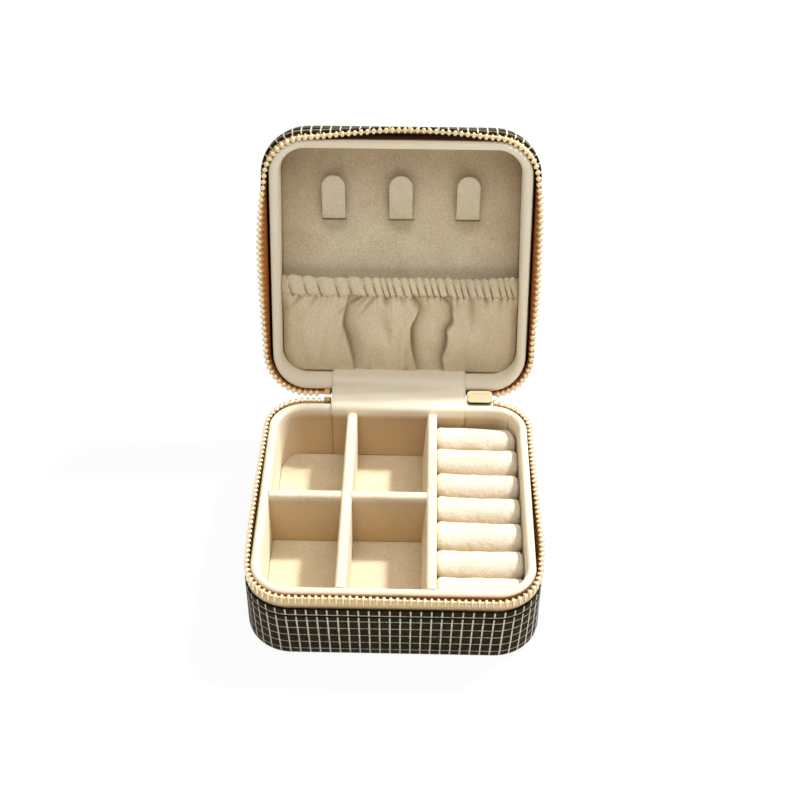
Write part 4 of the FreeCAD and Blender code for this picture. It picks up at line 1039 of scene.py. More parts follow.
def blown_up(pieces, foot):
    """Cloth simulation of padded covers: how far each point moves, on an even mesh of each cover.

    Each cover is copied and rebuilt from even voxels. It is held at its foot and pressed outwards from
    inside for some frames, without gravity.
    """
    scene = bpy.context.scene
    covers = []
    for piece in pieces:
        even = piece.modifiers.new("even", "REMESH")
        even.mode = "VOXEL"
        even.voxel_size = ROLL_VOXEL * MM
        graph = bpy.context.evaluated_depsgraph_get()
        mesh = bpy.data.meshes.new_from_object(piece.evaluated_get(graph))
        piece.modifiers.remove(even)
        cover = new_object(piece.name + "_cover", mesh)
        covers.append(cover)
        held = cover.vertex_groups.new(name="held")
        held.add(np.flatnonzero(points_of(mesh)[:, 2] < foot * MM).tolist(), 1.0, "ADD")
        cloth = cover.modifiers.new("cloth", "CLOTH")
        cloth.collision_settings.use_collision = False
        cloth.point_cache.frame_start, cloth.point_cache.frame_end = 1, ROLL_FRAMES
        stuff = cloth.settings
        stuff.quality = 6
        stuff.mass = 0.0001
        stuff.tension_stiffness = stuff.compression_stiffness = 0.5
        stuff.shear_stiffness, stuff.bending_stiffness = 0.17, 0.01
        stuff.use_pressure = True
        stuff.uniform_pressure_force = 40
        stuff.vertex_group_mass = "held"
        stuff.effector_weights.gravity = 0
    for step in range(1, ROLL_FRAMES + 1):
        scene.frame_set(step)
    graph = bpy.context.evaluated_depsgraph_get()
    moves = [points_of(cover.evaluated_get(graph).to_mesh()) - points_of(cover.data) for cover in covers]
    meshes = [cover.data for cover in covers]
    for cover in covers:
        bpy.data.objects.remove(cover)
    scene.frame_set(1)
    return zip(meshes, moves)


def ring_rolls():
    """Padded rolls: a flat-footed section with a broad round top, carried across the tray.

    The section's half width follows the roll's two edges. The rear roll is squarer behind, where it is
    pressed against the wall, and sinks at its right end. The rolls end at the wall's round corners. The
    covers are cut a little small and blown up by the simulation, as far as the next roll, the wall and
    the cap let them.
    """
    spare = ROLL_SPARE
    share = (np.sin(np.linspace(-math.pi / 2, math.pi / 2, 56)) / 2 + 0.5)[:, None]
    rolls = []
    for index in range(ROLL_EDGES.shape[1] - 1):
        node = f"ring_roll_{index + 1}"
        low, high = box_mm(node)
        rear = ROLL_REAR_ROUND if index == 0 else ROLL_TOP_ROUND
        back, ahead = ROLL_EDGES[:, index], ROLL_EDGES[:, index + 1]
        left_y, right_y = (back + ahead) / 2
        half, right_half = (back - ahead) / 2 - ROLL_GAP - spare
        top = high[2] + ROLL_LIFT
        foot = half - ROLL_FOOT_DRAW_IN
        loop = rounded_loop([
            (-foot, low[2], ROLL_FOOT_ROUND), (foot, low[2], ROLL_FOOT_ROUND), (half, top - spare, rear),
            (-half, top - spare, ROLL_TOP_ROUND),
        ], steps=12, spacing=1.0)
        across = HALF_WIDTH - PRESSED_INSET - low[0]
        bent = round_off(np.minimum(LEFT_END_SHORTER * share, 1 - share) * across, ROLL_END)
        widen = 1 + (right_half / half - 1) * share
        y = left_y + (right_y - left_y) * share + loop[:, 0] * widen * (1 - ROLL_END_PINCH * bent)
        start = low[0] - ROLL_TUCK
        x = start + spare / 2 + (corner_reach(y, PRESSED_INSET) - start - spare) * share
        up = np.clip((loop[:, 1] - low[2]) / (top - low[2]), 0, 1)
        swell = ROLL_UNEVEN * unevenness(x + 5 * index, loop[:, 0] + 3 * index, ROLL_WAVE) * up
        if index == 0:
            swell = swell - REAR_ROLL_DROP * up * smooth_step((share - REAR_DROP_START) / REAR_DROP_RUN)
        z = loop[:, 1] - up * (ROLL_END_DROP * (top - low[2]) * bent) + swell
        roll = add_piece(node + "_padded", grid_points(x, y, z), roll_cloth, crease=painted_groove_shade(z, top))
        dress(roll, "base", "roll_suede", node)
        rolls.append(roll)
    fit_rolls(rolls, low, top)


def painted_groove_shade(height, top):
    """Painted shade on a roll: more towards the groove beside it."""
    return ROLL_SHADE * smooth_step((top - ROLL_SHADE_DEPTH - height) / ROLL_SHADE_FADE)


def fit_rolls(rolls, low, top):
    """Let each blown-up cover grow by no more than the cap, and no further than the room it has."""
    for index, (mesh, move) in enumerate(blown_up(rolls, low[2] + ROLL_HELD)):
        move = move / MM
        far = np.linalg.norm(move, axis=1, keepdims=True)
        x, y, z = (points_of(mesh) / MM + move * np.minimum(1, ROLL_CAP / np.maximum(far, 1e-6))).T
        across = np.clip((x - low[0]) / (HALF_WIDTH - PRESSED_INSET - low[0]), 0, 1)
        left, right = ROLL_EDGES[:, index:index + 2, None]
        back, ahead = left + (right - left) * across
        y = np.clip(y, ahead + ROLL_GAP, back - ROLL_GAP)
        x = np.clip(x, low[0] - ROLL_TUCK, corner_reach(y, PRESSED_INSET))
        z = np.clip(z, low[2], top + ROLL_HEADROOM)
        mesh.vertices.foreach_set("co", np.ravel(grid_points(x, y, z) * MM))
        for layer in [layer for layer in mesh.attributes if layer.name == "crease"]:
            mesh.attributes.remove(layer)
        set_painted_shade_or_plain(mesh, painted_groove_shade(z, top))
        mesh.polygons.foreach_set("use_smooth", np.ones(len(mesh.polygons), bool))
        mesh.materials.clear()
        mesh.materials.append(roll_cloth)
        mesh.name = rolls[index].name
        rolls[index].data = mesh
        finer = rolls[index].modifiers.new("finer", "SUBSURF")
        finer.levels = finer.render_levels = 1


# Lid fittings

def necklace_hooks():
    """Stiffened tongues: an oval section whose half width follows a straight strip with a round tip.

    The root lies on the panel, and the tongue lifts off it towards the tip in a smooth step.
    """
    half = HOOK_WIDTH / 2
    tip = HOOK_LENGTH - half
    turn = np.linspace(0, math.pi / 2 * 0.985, 14)
    along = np.concatenate([np.linspace(0, tip, 16)[:-1], tip + half * np.sin(turn)])[:, None]
    width = np.concatenate([np.full(15, half), half * np.cos(turn)])[:, None]
    around = np.linspace(0, 2 * math.pi, 36, endpoint=False)
    across = np.sign(np.cos(around)) * np.abs(np.cos(around)) ** SIDE_POWER
    thick = np.sign(np.sin(around)) * np.abs(np.sin(around)) ** FACE_POWER * HOOK_THICKNESS / 2
    lift = ROOT_LIFT * smooth_step(along / ROOT_STEP)
    lift = lift + HOOK_LIFT * smooth_step(along / (HOOK_LENGTH * 0.9))
    slim = np.minimum(1, 1 - TIP_THINNER + TIP_THINNER * width / half)
    height = RECESS + HOOK_SINK - lift + thick * slim
    for name, centre in HOOKS.items():
        points = grid_points(centre + width * across, HALF_DEPTH - HOOK_ROOT - along, height)
        hook = add_piece(name + "_tongue", on_lid(points), hook_cloth)
        dress(hook, "lid", "panel_suede", name)


POCKET_FOOT = 7.0
POCKET_SEAM = 37.4
CASING = 6.8
CASING_SWELL, CASING_BACK_SWELL, CASING_ROUND = 1.0, 0.9, 0.6
SCALLOP = 0.9
CASING_END_RISE, END_RISE_X, END_RISE_FADE = 0.8, 28.0, 14.0
POCKET_SEAT = 8.8
POCKET_LEAN = 2.6
CLOTH = 0.5
POCKET_GAP = 0.25
FIRST_PLEAT = 0.15
WIDE_PLEAT, CLOSE_PLEAT = 5.8, 2.75
CLOSER_X, CLOSER_RUN = -9, 6
PLEAT_SLANT = 2.0
PLEAT_MIDDLE = 0.6
# Along the seam: its dip, half width and painted shade; the drape: its depth, wave and the painted shade in
# its hollows
SEAM_DIP, SEAM_HALF_WIDTH, SEAM_SHADE = 0.5, 0.5, 0.35
DRAPE, DRAPE_WAVE, DRAPE_SHADE = 0.8, 7.0, 0.22
# Each fold: reach from the hinge and x of the line it follows, its depth, and the side that laps over
FOLDS = (
    (((3.0, 9.2, 15.4, 21.5, 26.2, 28.9, 34.3, 38.0),
      (-16.6, -17.5, -18.5, -20.05, -21.3, -21.0, -19.7, -19.2)), 1.7, 1),
    (((3.0, 8.9, 14.4, 19.8, 25.9, 30.0, 32.7, 38.0), (7.6, 6.15, 4.8, 4.1, 4.3, 6.2, 6.8, 4.6)), 1.5, 1),
    (((3.0, 9.4, 12.5, 16.6, 20.7, 24.6, 27.4, 31.0, 38.0),
      (16.8, 16.5, 16.1, 17.3, 17.9, 17.8, 19.7, 19.6, 19.1)), 1.7, -1),
)
FOLD_EDGE, FOLD_LIFT, FOLD_UNDER, FOLD_OVER = 0.22, 1.3, 4.5, 6.0
# Painted shade under each fold's edge: the width of its dark core and of its broad part
FOLD_CORE, FOLD_SHADE = 0.8, 3.4
FOLD_FADE, FOLD_END_SHARE = 0.8, 0.6
# Puckers at the pocket's foot, drawn only as painted shade: x of each, half width, length and strength
PAINTED_FOOT_PUCKERS, PUCKER_HALF_WIDTH, PUCKER_LENGTH, PUCKER_SHADE = (-11.5, 2.5, 25.5), 1.3, 1.8, 0.6
# Creases that run down from the seam, each a dip with painted shade: x, half width, length, strength, how
# far they wander per millimetre
STREAKS = (
    (-36.4, 1.3, 5.0, 0.55, -0.84), (-30.7, 1.2, 5.0, 0.4, -0.62), (-26.5, 0.8, 2.0, 0.3, -0.5),
    (-14.0, 1.6, 6.0, 0.7, -1.3), (-11.7, 1.0, 6.0, 0.4, -0.95), (-9.0, 1.1, 8.0, 0.5, -0.75),
    (-5.0, 1.3, 3.6, 0.7, 0.0), (0.3, 1.0, 3.5, 0.5, 0.3), (4.5, 1.3, 6.0, 0.6, 0.6),
    (15.8, 1.3, 5.0, 0.7, 0.8), (20.8, 0.8, 2.5, 0.4, 0.2), (26.6, 1.7, 14.0, 0.5, 0.05),
    (31.7, 1.3, 4.0, 0.55, 0.3), (37.0, 1.2, 8.0, 0.35, 0.0),
)
STREAK_DEPTH = 1.3
# Painted shade on the pocket: at its rim, and on its left and right side
POCKET_RIM_SHADE, POCKET_RIM_SHADE_WIDTH = 0.4, 5.0
POCKET_SIDES_SHADE_X, POCKET_SIDES_SHADE_FADE, LEFT_SIDE_SHADE, RIGHT_SIDE_SHADE = 14.0, 10.0, 0.07, 0.15


def recess_half_width(reach):
    """Half width of the lid's recess at a reach from the hinge, less in its lower round corners."""
    return corner_reach(HALF_DEPTH - reach, LID_LINING_INSET)


def pleat_width(x):
    """Distance from one pleat to the next: wide on the left, close from the middle on, and uneven."""
    even = CLOSE_PLEAT + (WIDE_PLEAT - CLOSE_PLEAT) * smooth_step((CLOSER_X - x) / CLOSER_RUN)
    return even * (1 + 0.16 * np.sin(0.71 * x + 1.0) + 0.12 * np.sin(0.43 * x))


def pleat_count(x):
    """Pleats counted from the left end."""
    ruler = np.linspace(-HALF_WIDTH, HALF_WIDTH, 801)
    counted = np.cumsum(np.diff(ruler) / pleat_width(ruler)[1:])
    return np.interp(x, ruler, np.concatenate([[FIRST_PLEAT], FIRST_PLEAT + counted]))


def folds(x, reach, share):
    """Rise and painted shade of the three folds: at each, one side laps over the other, and painted shade
    lies under its edge.
    """
    rise, crease = 0.0, 0.0
    for line, depth, lap in FOLDS:
        off = (x - curve_through(np.minimum(reach, POCKET_SEAM), np.array(line))) * lap
        far = np.abs(off)
        fade = np.exp(-np.maximum(reach - POCKET_SEAM, 0) / FOLD_FADE)
        fade = fade * (FOLD_END_SHARE + (1 - FOLD_END_SHARE) * np.sin(math.pi * share))
        under = (1 + np.tanh(off / FOLD_EDGE)) / 2
        lapped = FOLD_LIFT * under * np.exp(-far / FOLD_UNDER) - (1 - under) * np.exp(-far / FOLD_OVER)
        rise = rise + depth * fade * lapped
        shade = 0.5 * np.exp(-far / FOLD_CORE) + 0.5 * np.exp(-far / FOLD_SHADE)
        crease = np.maximum(crease, fade * under * shade)
    return rise, crease


def pleats(x, below, over):
    """Rise and painted shade of the gathers: round ridges with sharp valleys that slant up to the left,
    painted darker in the valleys.

    They fill the casing, and below the seam each runs out in a pucker of its own length.
    """
    count = pleat_count(x + PLEAT_SLANT * over)
    width = pleat_width(x)
    ridge = np.abs(np.sin(math.pi * count)) ** 0.85
    valley = np.round(count)
    aside = np.abs(count - valley) * width
    sharp, long = np.sin(3.1 * valley) ** 2, np.sin(1.7 * valley + 0.6) ** 2
    uneven = 0.85 + 0.3 * np.sin(2.4 * np.round(count + 0.5) + 1)
    hanging = (0.4 + 0.9 * sharp) * np.exp(-below / (2 + 4 * long))
    height = np.where(below > 0, hanging, 1.0 + 0.7 * np.minimum(over, 1))
    soft, core = bell(aside / (0.2 * width)), bell(aside / 0.2)
    # Painted shade in the pleats' valleys above the seam, and in the dimples below it
    cased_shade = (0.75 + 0.25 * sharp) * core * (1 - smooth_step((over - 0.4) / 0.45))
    cased_shade = cased_shade + 0.2 * soft * (1 - 0.5 * over)
    dimple_shade = (0.2 + 0.75 * sharp) * np.exp(-below / (0.8 + 3.2 * long)) * soft
    dimple_shade = dimple_shade + 0.5 * core * np.exp(-below / 0.7)
    return -height * uneven * (ridge - PLEAT_MIDDLE), np.where(below > 0, dimple_shade, cased_shade)


def pocket_relief(x, reach):
    """Height of the pocket's face, and how much painted shade each place takes.

    The face leans out from foot to seam and drapes softly, with three folds. Above the seam the casing
    swells out into pleats, which run out below it in puckers and slanting creases.
    """
    share = np.clip((reach - POCKET_FOOT) / (POCKET_SEAM - POCKET_FOOT), 0, 1)
    over = np.clip((reach - POCKET_SEAM) / CASING, 0, 1.1)
    below = np.clip(POCKET_SEAM - reach, 0, None)
    half = recess_half_width(reach)
    edge = 1 - np.abs(x / half) ** 10 * smooth_step(below / 8)
    face = POCKET_SEAT - POCKET_LEAN * np.sin(np.minimum(share / 0.7, 1) * math.pi / 2) * edge
    # Painted shade: at the rim and the sides, then for each fold, pleat, streak, pucker, hollow of the drape
    # and the seam; each place takes the darkest
    creases = [
        POCKET_RIM_SHADE * smooth_step((np.abs(x) - half + POCKET_RIM_SHADE_WIDTH) / POCKET_RIM_SHADE_WIDTH),
        LEFT_SIDE_SHADE * smooth_step((-x - POCKET_SIDES_SHADE_X) / POCKET_SIDES_SHADE_FADE)
        + RIGHT_SIDE_SHADE * smooth_step((x - POCKET_SIDES_SHADE_X) / POCKET_SIDES_SHADE_FADE),
    ]
    for rise, crease in (folds(x, reach, share), pleats(x, below, over)):
        face = face + rise
        creases.append(crease)
    for place, width, length, depth, wander in STREAKS:
        off = x - place - wander * below
        dip = depth * np.exp(-(off / width) ** 2 - (below / length) ** 2) * (below > 0)
        face = face + STREAK_DEPTH * dip
        creases.append(dip)
    for place in PAINTED_FOOT_PUCKERS:
        off = (x - place) / PUCKER_HALF_WIDTH
        creases.append(PUCKER_SHADE * np.exp(-off ** 2 - (reach - POCKET_FOOT) / PUCKER_LENGTH))
    drape = unevenness(x + 0.6 * below * np.sin(0.21 * x), 0.35 * reach, DRAPE_WAVE)
    hang = smooth_step(below / 3) * edge * np.sin(math.pi * np.clip(share * 0.8 + 0.1, 0, 1))
    sewn = bell((reach - POCKET_SEAM) / SEAM_HALF_WIDTH)
    creases += [DRAPE_SHADE * np.clip(-drape, 0, 1) * hang, SEAM_SHADE * sewn]
    swell = CASING_SWELL * np.sin(math.pi * np.minimum(over, 1)) ** CASING_ROUND
    face = face - swell - DRAPE * drape * hang + SEAM_DIP * sewn
    return np.minimum(face, RECESS - CLOTH - 0.2), np.clip(np.max(creases, axis=0), 0, 1)


def pocket():
    """Gathered pocket: one loop of cloth, its face from left to right and its back again, row by row."""
    share = np.linspace(-1, 1, 520)
    level = np.concatenate([np.linspace(0, 1, 46)[:-1], np.linspace(1, 2, 22)])[:, None]
    over = np.clip(level - 1, 0, 1)
    reach = POCKET_FOOT + (POCKET_SEAM - POCKET_FOOT) * np.minimum(level, 1) + 0 * share
    x = share * (recess_half_width(reach) - POCKET_GAP)
    end_rise = CASING_END_RISE * smooth_step((np.abs(x) - END_RISE_X) / END_RISE_FADE)
    reach = reach + over * (CASING + end_rise)
    face, crease = pocket_relief(x, reach)
    ridge = np.abs(np.sin(math.pi * pleat_count(x + PLEAT_SLANT * over))) ** 0.8
    scallop = SCALLOP * over ** 4 * (ridge - PLEAT_MIDDLE)
    flat = pocket_relief(x, np.minimum(reach, POCKET_SEAM))[0]
    back = flat - SEAM_DIP + CLOTH + CASING_BACK_SWELL * np.sin(math.pi * over) ** CASING_ROUND
    back = np.maximum(np.minimum(back, RECESS - POCKET_GAP), face + CLOTH * 0.8)
    points = two_sided(x, HALF_DEPTH - reach - scallop, face, back)
    creases = np.concatenate([crease, crease[:, ::-1]], axis=1)
    cloth = add_piece("gathered_pocket", on_lid(points), pocket_cloth, thin=True, sharp=180,
                      crease=creases)
    dress(cloth, "lid", "panel_suede", "pocket_cloth")
    pocket_stitches()


STITCH_PITCH, STITCH_LENGTH, THREAD_RADIUS = 2.1, 1.4, 0.2
STITCH_LIFT, STITCH_ARCH, STITCH_WANDER, STITCHES_SHORTER = 0.22, 0.1, 0.12, 1.2


def pocket_stitches():
    """Row of sewing stitches under the casing: each a short thread, round and thin at both ends."""
    half = recess_half_width(np.array(POCKET_SEAM)) - STITCHES_SHORTER
    centre = np.arange(-half, half, STITCH_PITCH)[:, None]
    along = np.linspace(-1, 1, 7)
    around = np.linspace(0, 2 * math.pi, 6, endpoint=False)
    x = centre + along * STITCH_LENGTH / 2
    reach = POCKET_SEAM + STITCH_WANDER * np.sin(centre * 1.7) + 0 * x
    face = pocket_relief(x, np.full_like(x, POCKET_SEAM))[0]
    rise = face - STITCH_LIFT - STITCH_ARCH * (1 - along ** 2)
    thin = (THREAD_RADIUS * np.sqrt(1.02 - along ** 2))[:, None]
    y = HALF_DEPTH - reach[..., None] + thin * np.cos(around)
    points = grid_points(x[..., None], y, rise[..., None] + thin * np.sin(around))
    thread = add_piece("pocket_stitching", on_lid(points), thread_cloth)
    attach(thread, "lid")
    return thread


STRAP_THICKNESS = 0.6
STRAP_GAP = 0.2
STRAP_BEND, STRAP_EDGE_BEND = 6.2, 2.2
STRAP_FLEX = 2.0
STRAP_CREASE, STRAP_WAVE = 0.26, 5.0
HEM, HEM_DIP, HEM_HALF_WIDTH = 1.1, 0.22, 0.15
STRAP_EDGE, STRAP_EDGE_SHARE = 0.3, 0.15
# Painted shade along the strap's edges, more of it low on the back wall, and how wide it reaches
STRAP_SHADE, STRAP_LOW_SHADE, STRAP_SHADE_WIDTH = 0.2, 0.08, 0.4
# Lengths of the strap that stay smooth at its base end and its lid end, and over which creases grow
SMOOTH_START, SMOOTH_END, CREASE_FADE = 22, 9, 4


def hinge_strap():
    """Lining strap: up the base's back wall, over the hinge and into the lid's recess.

    A thin strip along a bent path, with soft creases across the hinge and a hem along each side.
    """
    off = STRAP_GAP + STRAP_THICKNESS / 2
    wall = LINER_INSET + RIM_WIDTH + off
    level = RIM_TOP + off
    rise = RIM_GAP - off
    meet = (level - PARTING - rise * math.cos(OPEN_ANGLE)) / math.sin(OPEN_ANGLE)
    path = rounded_path([
        (HALF_DEPTH - wall, FLOOR_TOP + STRAP_GAP), (HALF_DEPTH - wall, level), lid_spot(meet, rise),
        lid_spot(wall, rise), lid_spot(wall, RECESS - STRAP_GAP),
    ], [STRAP_EDGE_BEND, STRAP_BEND, STRAP_EDGE_BEND], steps=14, spacing=0.5)
    hem = HINGE_HALF_WIDTH - HEM
    hem_lines = (np.array([[-hem], [hem]]) + np.array([-HEM_HALF_WIDTH, 0, HEM_HALF_WIDTH])).ravel()
    x = np.sort(np.concatenate([np.linspace(-HINGE_HALF_WIDTH, HINGE_HALF_WIDTH, 60), hem_lines]))
    from_edge = HINGE_HALF_WIDTH - np.abs(x)
    full = np.clip(from_edge / STRAP_EDGE, 0, 1)
    thickness = STRAP_THICKNESS * np.sqrt(STRAP_EDGE_SHARE + (1 - STRAP_EDGE_SHARE) * full)
    thickness = thickness - HEM_DIP * bell((np.abs(x) - hem) / HEM_HALF_WIDTH)
    length = length_along(path)
    on_hinge = smooth_step((length - SMOOTH_START) / CREASE_FADE)
    on_hinge *= smooth_step((length[-1] - SMOOTH_END - length) / CREASE_FADE)
    crease = unevenness(length * 2.4 + 0.05 * x[:, None], x[:, None] * 0.25, STRAP_WAVE)
    points = strip_points(path, thickness, x, lift=STRAP_CREASE * crease * on_hinge)
    # Painted shade: over the back wall below the rim as on the wall itself, and along both edges
    on_wall = np.concatenate([path, path[::-1]])[:, 1]
    low = smooth_step((RIM_TOP - SHADE_DEPTH - on_wall) / SHADE_FADE)
    at_edge = bell(from_edge / STRAP_SHADE_WIDTH)[:, None]
    shade = BACK_WALL_SHADE * low + at_edge * (STRAP_SHADE + STRAP_LOW_SHADE * low)
    strap = add_piece("hinge_strap_cloth", points, rim_cloth_painted_lighter, thin=True, crease=shade)
    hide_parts("hinge_strap")
    start = np.array([0, HALF_DEPTH - wall + STRAP_FLEX, level]) * MM
    end = np.append(0, lid_spot(wall - STRAP_FLEX, rise)) * MM
    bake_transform(strap, "base", "lid", start=tuple(start), end=tuple(end))


# Zip

def run_to_back(x):
    """Distance along the outline, from the middle of the front, to a place on the back at this x."""
    return PERIMETER / 2 - x


NOTCH_START = run_to_back(SIDE_X) - 1.7
FIRST_TOOTH, LAST_TOOTH = 3.6, 0.2
BASE_PHASE, LID_PHASE = 0.5, 1.0
# Painted light of the tape's inner side in two equal steps, an orange-brown glow and then deep shade: share
# of the height where each starts, and its run
INNER_PAINTED_LIGHT = ((1.02, 0.1), (0.62, 0.35))
# Painted shade low on the tape's outer side: strength, share of the height where it starts, and its run
OUTER_PAINTED_SHADE, OUTER_SHADE_START, OUTER_SHADE_RUN = 0.05, 0.72, 0.3
# Share of the painted light and shade left off the base's tape, and more of it along the back, where it is
# lit
BASE_LIT, BACK_LIT = 0.25, 0.55


def zip_tape(name, node, foot, edge, bend, lean_table, turn, body):
    """Woven tape: a thin upright profile along the outline, whose loose edge leans out past the band.

    Beside the slider the tape's free edge is gone, so the profile there keeps only its sewn part.
    """
    reach = run_to_back(HINGE_HALF_WIDTH + 2 * BAND_WINDOW)
    at_notch = NOTCH_START + np.linspace(-0.4, 0.4, 5)
    s = np.sort(np.concatenate([np.linspace(-reach, reach, 260), at_notch]))
    up = np.linspace(0, 1, 9)
    cut = 1 - NOTCH_DROP / abs(edge - foot) * smooth_step((s - NOTCH_START) / 0.5 + 0.5)
    level = foot + (edge - foot) * np.concatenate([up, up[::-1]]) * cut[:, None]
    lean = tape_lean(level, edge, bend, curve_through(s, lean_table)[:, None])
    side = np.repeat([0, TAPE_THICKNESS], len(up))
    points = sweep(s, TAPE_INSET + side - lean, level)
    uv = strips(wrapped_uv(s, np.append(level[0], level[0, 0])))
    # Painted light and shade: the inner side's orange-brown glow and deep shade, a little shade low on the
    # outer side, less of both on the base
    inner = sum(0.5 * smooth_step((start - up) / run) for start, run in INNER_PAINTED_LIGHT)
    outer = OUTER_PAINTED_SHADE * smooth_step((OUTER_SHADE_START - up) / OUTER_SHADE_RUN)
    lit = (BASE_LIT + BACK_LIT * back_share(s)[:, None]) * (body == "base")
    painted_light = np.concatenate([outer, inner[::-1]]) * (1 - lit)
    tape = add_piece(name, turn(points), tape_weave, thin=True, uv=uv, uv_name="tape", crease=painted_light)
    dress(tape, body, "zip_tape", node)


TOOTH_SHAPE = np.array([
    # Share of the height, half width along the zip, half depth across the tape, outward bulge of the leg
    (0.00, 0.42, 0.80, 0.7), (0.07, 0.56, 1.00, 0.7), (0.44, 0.56, 1.04, 0.45), (0.60, 0.50, 0.92, 0.25),
    (0.73, 0.78, 1.04, 0.0), (0.86, 0.84, 1.02, 0.0), (0.96, 0.62, 0.78, 0.0), (1.00, 0.26, 0.36, 0.0),
])


def zip_teeth(name, node, head, foot, edge, bend, lean_table, phase, slim, finish, turn, body):
    """Row of teeth: an eight-sided waisted stud with a domed head, set every pitch along the tape's edge.

    The pitch is walked along the leaning edge itself, so that the teeth keep their distance. Along the
    base's front the legs stand out from the tape.
    """
    fine = np.linspace(-run_to_back(HINGE_HALF_WIDTH + FIRST_TOOTH), NOTCH_START - LAST_TOOTH, 3000)
    middle = TAPE_INSET + TAPE_THICKNESS / 2
    place, outward = outline_at(fine)
    walked = length_along(place - outward * (middle - curve_through(fine, lean_table)[:, None]))
    at = np.interp(np.arange(phase * TOOTH_PITCH, walked[-1], TOOTH_PITCH), walked, fine)
    place, outward = outline_at(at)
    forward = np.stack([-outward[:, 1], outward[:, 0]], axis=-1)
    around = np.linspace(0, 2 * math.pi, 8, endpoint=False) + math.pi / 8
    share, wide, deep, bulge = TOOTH_SHAPE.T
    level = foot + (head - foot) * share
    tilt = tape_lean(level, edge, bend, curve_through(at, lean_table)[:, None])
    centre = place[:, None] - outward[:, None] * (middle - tilt)[..., None]
    stands_out = front_share(at)[:, None, None] * (body == "base")
    across = deep[:, None] * np.sin(around) + stands_out * bulge[:, None] * (np.sin(around) > 0)
    ring = (forward[:, None, None] * (slim * wide[:, None] * np.cos(around))[None, ..., None]
            + outward[:, None, None] * across[..., None])
    flat = centre[:, :, None] + ring
    height = np.broadcast_to(level[None, :, None, None], (*flat.shape[:3], 1))
    teeth = add_piece(name, turn(np.concatenate([flat, height], axis=-1)), finish, sharp=70)
    dress(teeth, body, "gold_metal", node)


def zips():
    """Both halves of the zip; the lid's row is half a pitch on, so that the rows mesh when closed."""
    def as_drawn(points):
        return points

    head = PARTING - TOOTH_DROP
    line = (PARTING - TAPE_DROP, BAND_TOP, BASE_LEAN)
    zip_tape("base_woven_tape", "base_zip_tape", BAND_FOOT + TAPE_HEM, *line, as_drawn, "base")
    zip_teeth("base_gilt_teeth", "base_zip_teeth", head, head - TOOTH_HEIGHT, *line,
              BASE_PHASE, TOOTH_SLIM, bright_gilt, as_drawn, "base")
    line = (LID_TAPE_DROP, LID_TAPE_BEND, LID_LEAN)
    zip_tape("lid_woven_tape", "lid_zip_tape", LID_SEAM - LID_TAPE_HEM, *line, on_lid, "lid")
    zip_teeth("lid_gilt_teeth", "lid_zip_teeth", TOOTH_DROP, TOOTH_DROP + LID_TOOTH_HEIGHT, *line,
              LID_PHASE, LID_TOOTH_SLIM, tooth_gilt, on_lid, "lid")


CARRIED_OVER = {
    "base_bottom_panel": underside_leather, "base_board_tray": board, "lid_board_tray": board,
    "ring_roll_board": board, "lid_top_foam": foam, "pocket_elastic": webbing,
    "base_zip_stop": stop_brass, "lid_zip_stop": stop_brass, "slider_body": slider_gilt,
    "slider_bail": slider_gilt, "zip_pull": slider_gilt,
}
EASED_EDGES = {
    "slider_body": 0.22, "slider_bail": 0.15, "zip_pull": 0.3, "base_zip_stop": 0.2, "lid_zip_stop": 0.2,
}


def carried_over_nodes():
    """Pieces that keep their own shape: a finish for each, and eased edges on the cast metal."""
    for name, finish in CARRIED_OVER.items():
        node = frame["nodes"][name]
        node.data.materials.clear()
        node.data.materials.append(finish)
    for name, width in EASED_EDGES.items():
        node = frame["nodes"][name]
        joined = node.modifiers.new("joined", "WELD")
        joined.merge_threshold = 0.001 * MM
        eased = node.modifiers.new("eased", "BEVEL")
        eased.width = width * MM
        eased.segments = 2
        eased.limit_method = "ANGLE"
        eased.angle_limit = math.radians(40)


# Studio

SKY_LIGHT = 0.2
SKY_IN_METAL = 0.9
FLOOR_WHITE = 0.95
FLOOR_REACH = 3.0
LAMP_TARGET = np.array([0.0, 0.02, 0.03])
# Each lamp: its direction from the target, distance and size in metres, and power
LAMPS = {
    "key": ((0.66, 0.43, 1.0), 1.3, 0.13, 23.5),
    "overhead": ((0.1, -0.3, 1.0), 1.2, 1.0, 6.2),
}
CAMERA_PLACE = np.array([8.45, -353.2, 374.1])
CAMERA_TARGET = np.array([-1.14, 47.65, 30.0])
CAMERA_LENS = 63.58
CAMERA_SHIFT = 0.0056


def look_along(way):
    """Turn of a lamp or camera that looks along a direction, upright."""
    x, y, z = way / np.linalg.norm(way)
    return (math.acos(-z), 0.0, math.atan2(-x, y))


def surround():
    """White sky as the camera sees it, and nearly so in metal, that lights the case only a little."""
    world = bpy.data.worlds.new("studio")
    bpy.context.scene.world = world
    world.use_nodes = True
    add = functools.partial(add_node, world.node_tree)
    seen = add("LightPath").outputs
    bright = add("Math", {"operation": "MULTIPLY_ADD", 1: SKY_IN_METAL},
                 {0: seen["Is Glossy Ray"], 2: seen["Is Camera Ray"]})
    dim, white = (add("Background", {"Color": "#FFFFFF", "Strength": strength})
                  for strength in (SKY_LIGHT, 1.0))
    mixed = add("MixShader", links={0: bright, 1: dim, 2: white})
    feed(world.node_tree.nodes["World Output"], {"Surface": mixed})


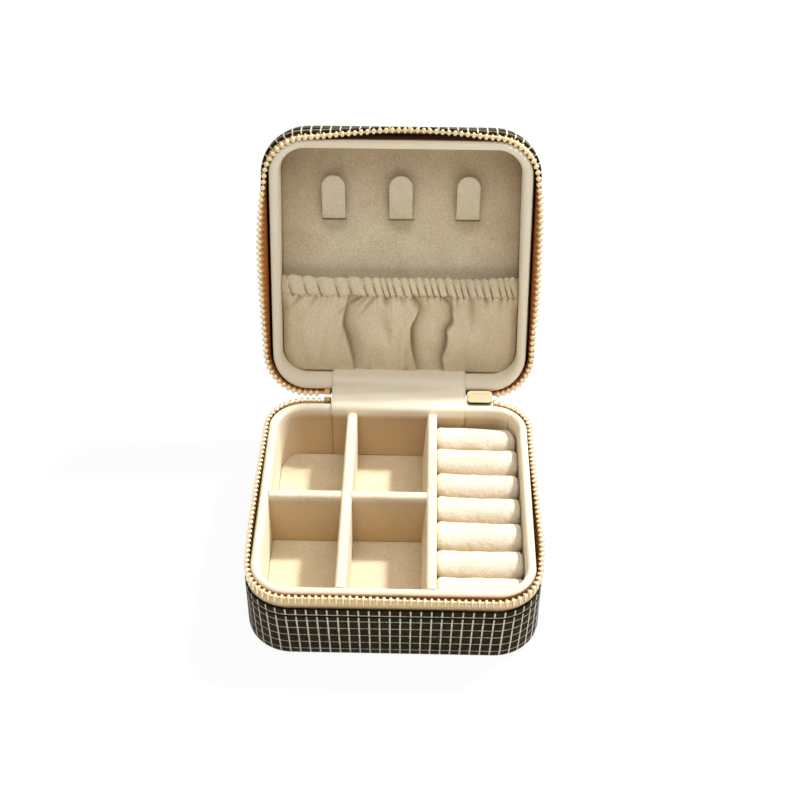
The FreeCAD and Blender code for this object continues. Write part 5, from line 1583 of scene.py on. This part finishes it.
def pale_floor():
    """Matt white paper that keeps the case's soft shadow."""
    floor = bpy.data.meshes.new("floor")
    corners = [(x * FLOOR_REACH, y * FLOOR_REACH, 0) for x, y in ((-1, -1), (1, -1), (1, 1), (-1, 1))]
    floor.from_pydata(corners, [], [(0, 1, 2, 3)])
    finish, shader, add, _ = new_finish("matt_white_paper", Roughness=0.9, Base_Color="#F4F3F0")
    seen = add("LightPath").outputs
    bright = add("Math", {"operation": "MAXIMUM"}, {0: seen["Is Camera Ray"], 1: seen["Is Glossy Ray"]})
    share = add("Math", {"operation": "MULTIPLY", 1: FLOOR_WHITE}, {0: bright})
    white = add("Emission", {"Color": "#FFFFFF", "Strength": 1.0})
    mixed = add("MixShader", links={0: share, 1: shader, 2: white})
    feed(finish.node_tree.nodes["Material Output"], {"Surface": mixed})
    floor.materials.append(finish)
    ground = new_object("floor", floor)


def studio():
    """Pale floor, white surround, a key lamp from behind on the right, and a broad soft lamp overhead."""
    bpy.context.scene.view_settings.view_transform = "Standard"
    surround()
    pale_floor()
    for name, (way, distance, size, power) in LAMPS.items():
        lamp = bpy.data.lights.new(name, "AREA")
        lamp.shape = "DISK"
        lamp.size = size
        lamp.energy = power
        place = LAMP_TARGET + np.array(way) / np.linalg.norm(way) * distance
        holder = new_object(name, lamp)
        holder.location = place
        holder.rotation_euler = look_along(LAMP_TARGET - place)


def camera():
    """The photograph's view: place, target and lens fitted to the rim, the floor and the lid."""
    lens = bpy.data.cameras.new("camera")
    lens.lens = CAMERA_LENS
    lens.sensor_width = 36.0
    lens.shift_x = CAMERA_SHIFT
    lens.clip_start = 0.01
    holder = new_object("camera", lens)
    holder.location = CAMERA_PLACE * MM
    holder.rotation_euler = look_along(CAMERA_TARGET - CAMERA_PLACE)
    bpy.context.scene.camera = holder


camera()
studio()
base_leather()
bands()
lid_leather()
hinge_spine()
liner_wall()
floor_pad()
dividers()
ring_rolls()
lid_rim()
lid_panel()
necklace_hooks()
pocket()
hinge_strap()
zips()
carried_over_nodes()
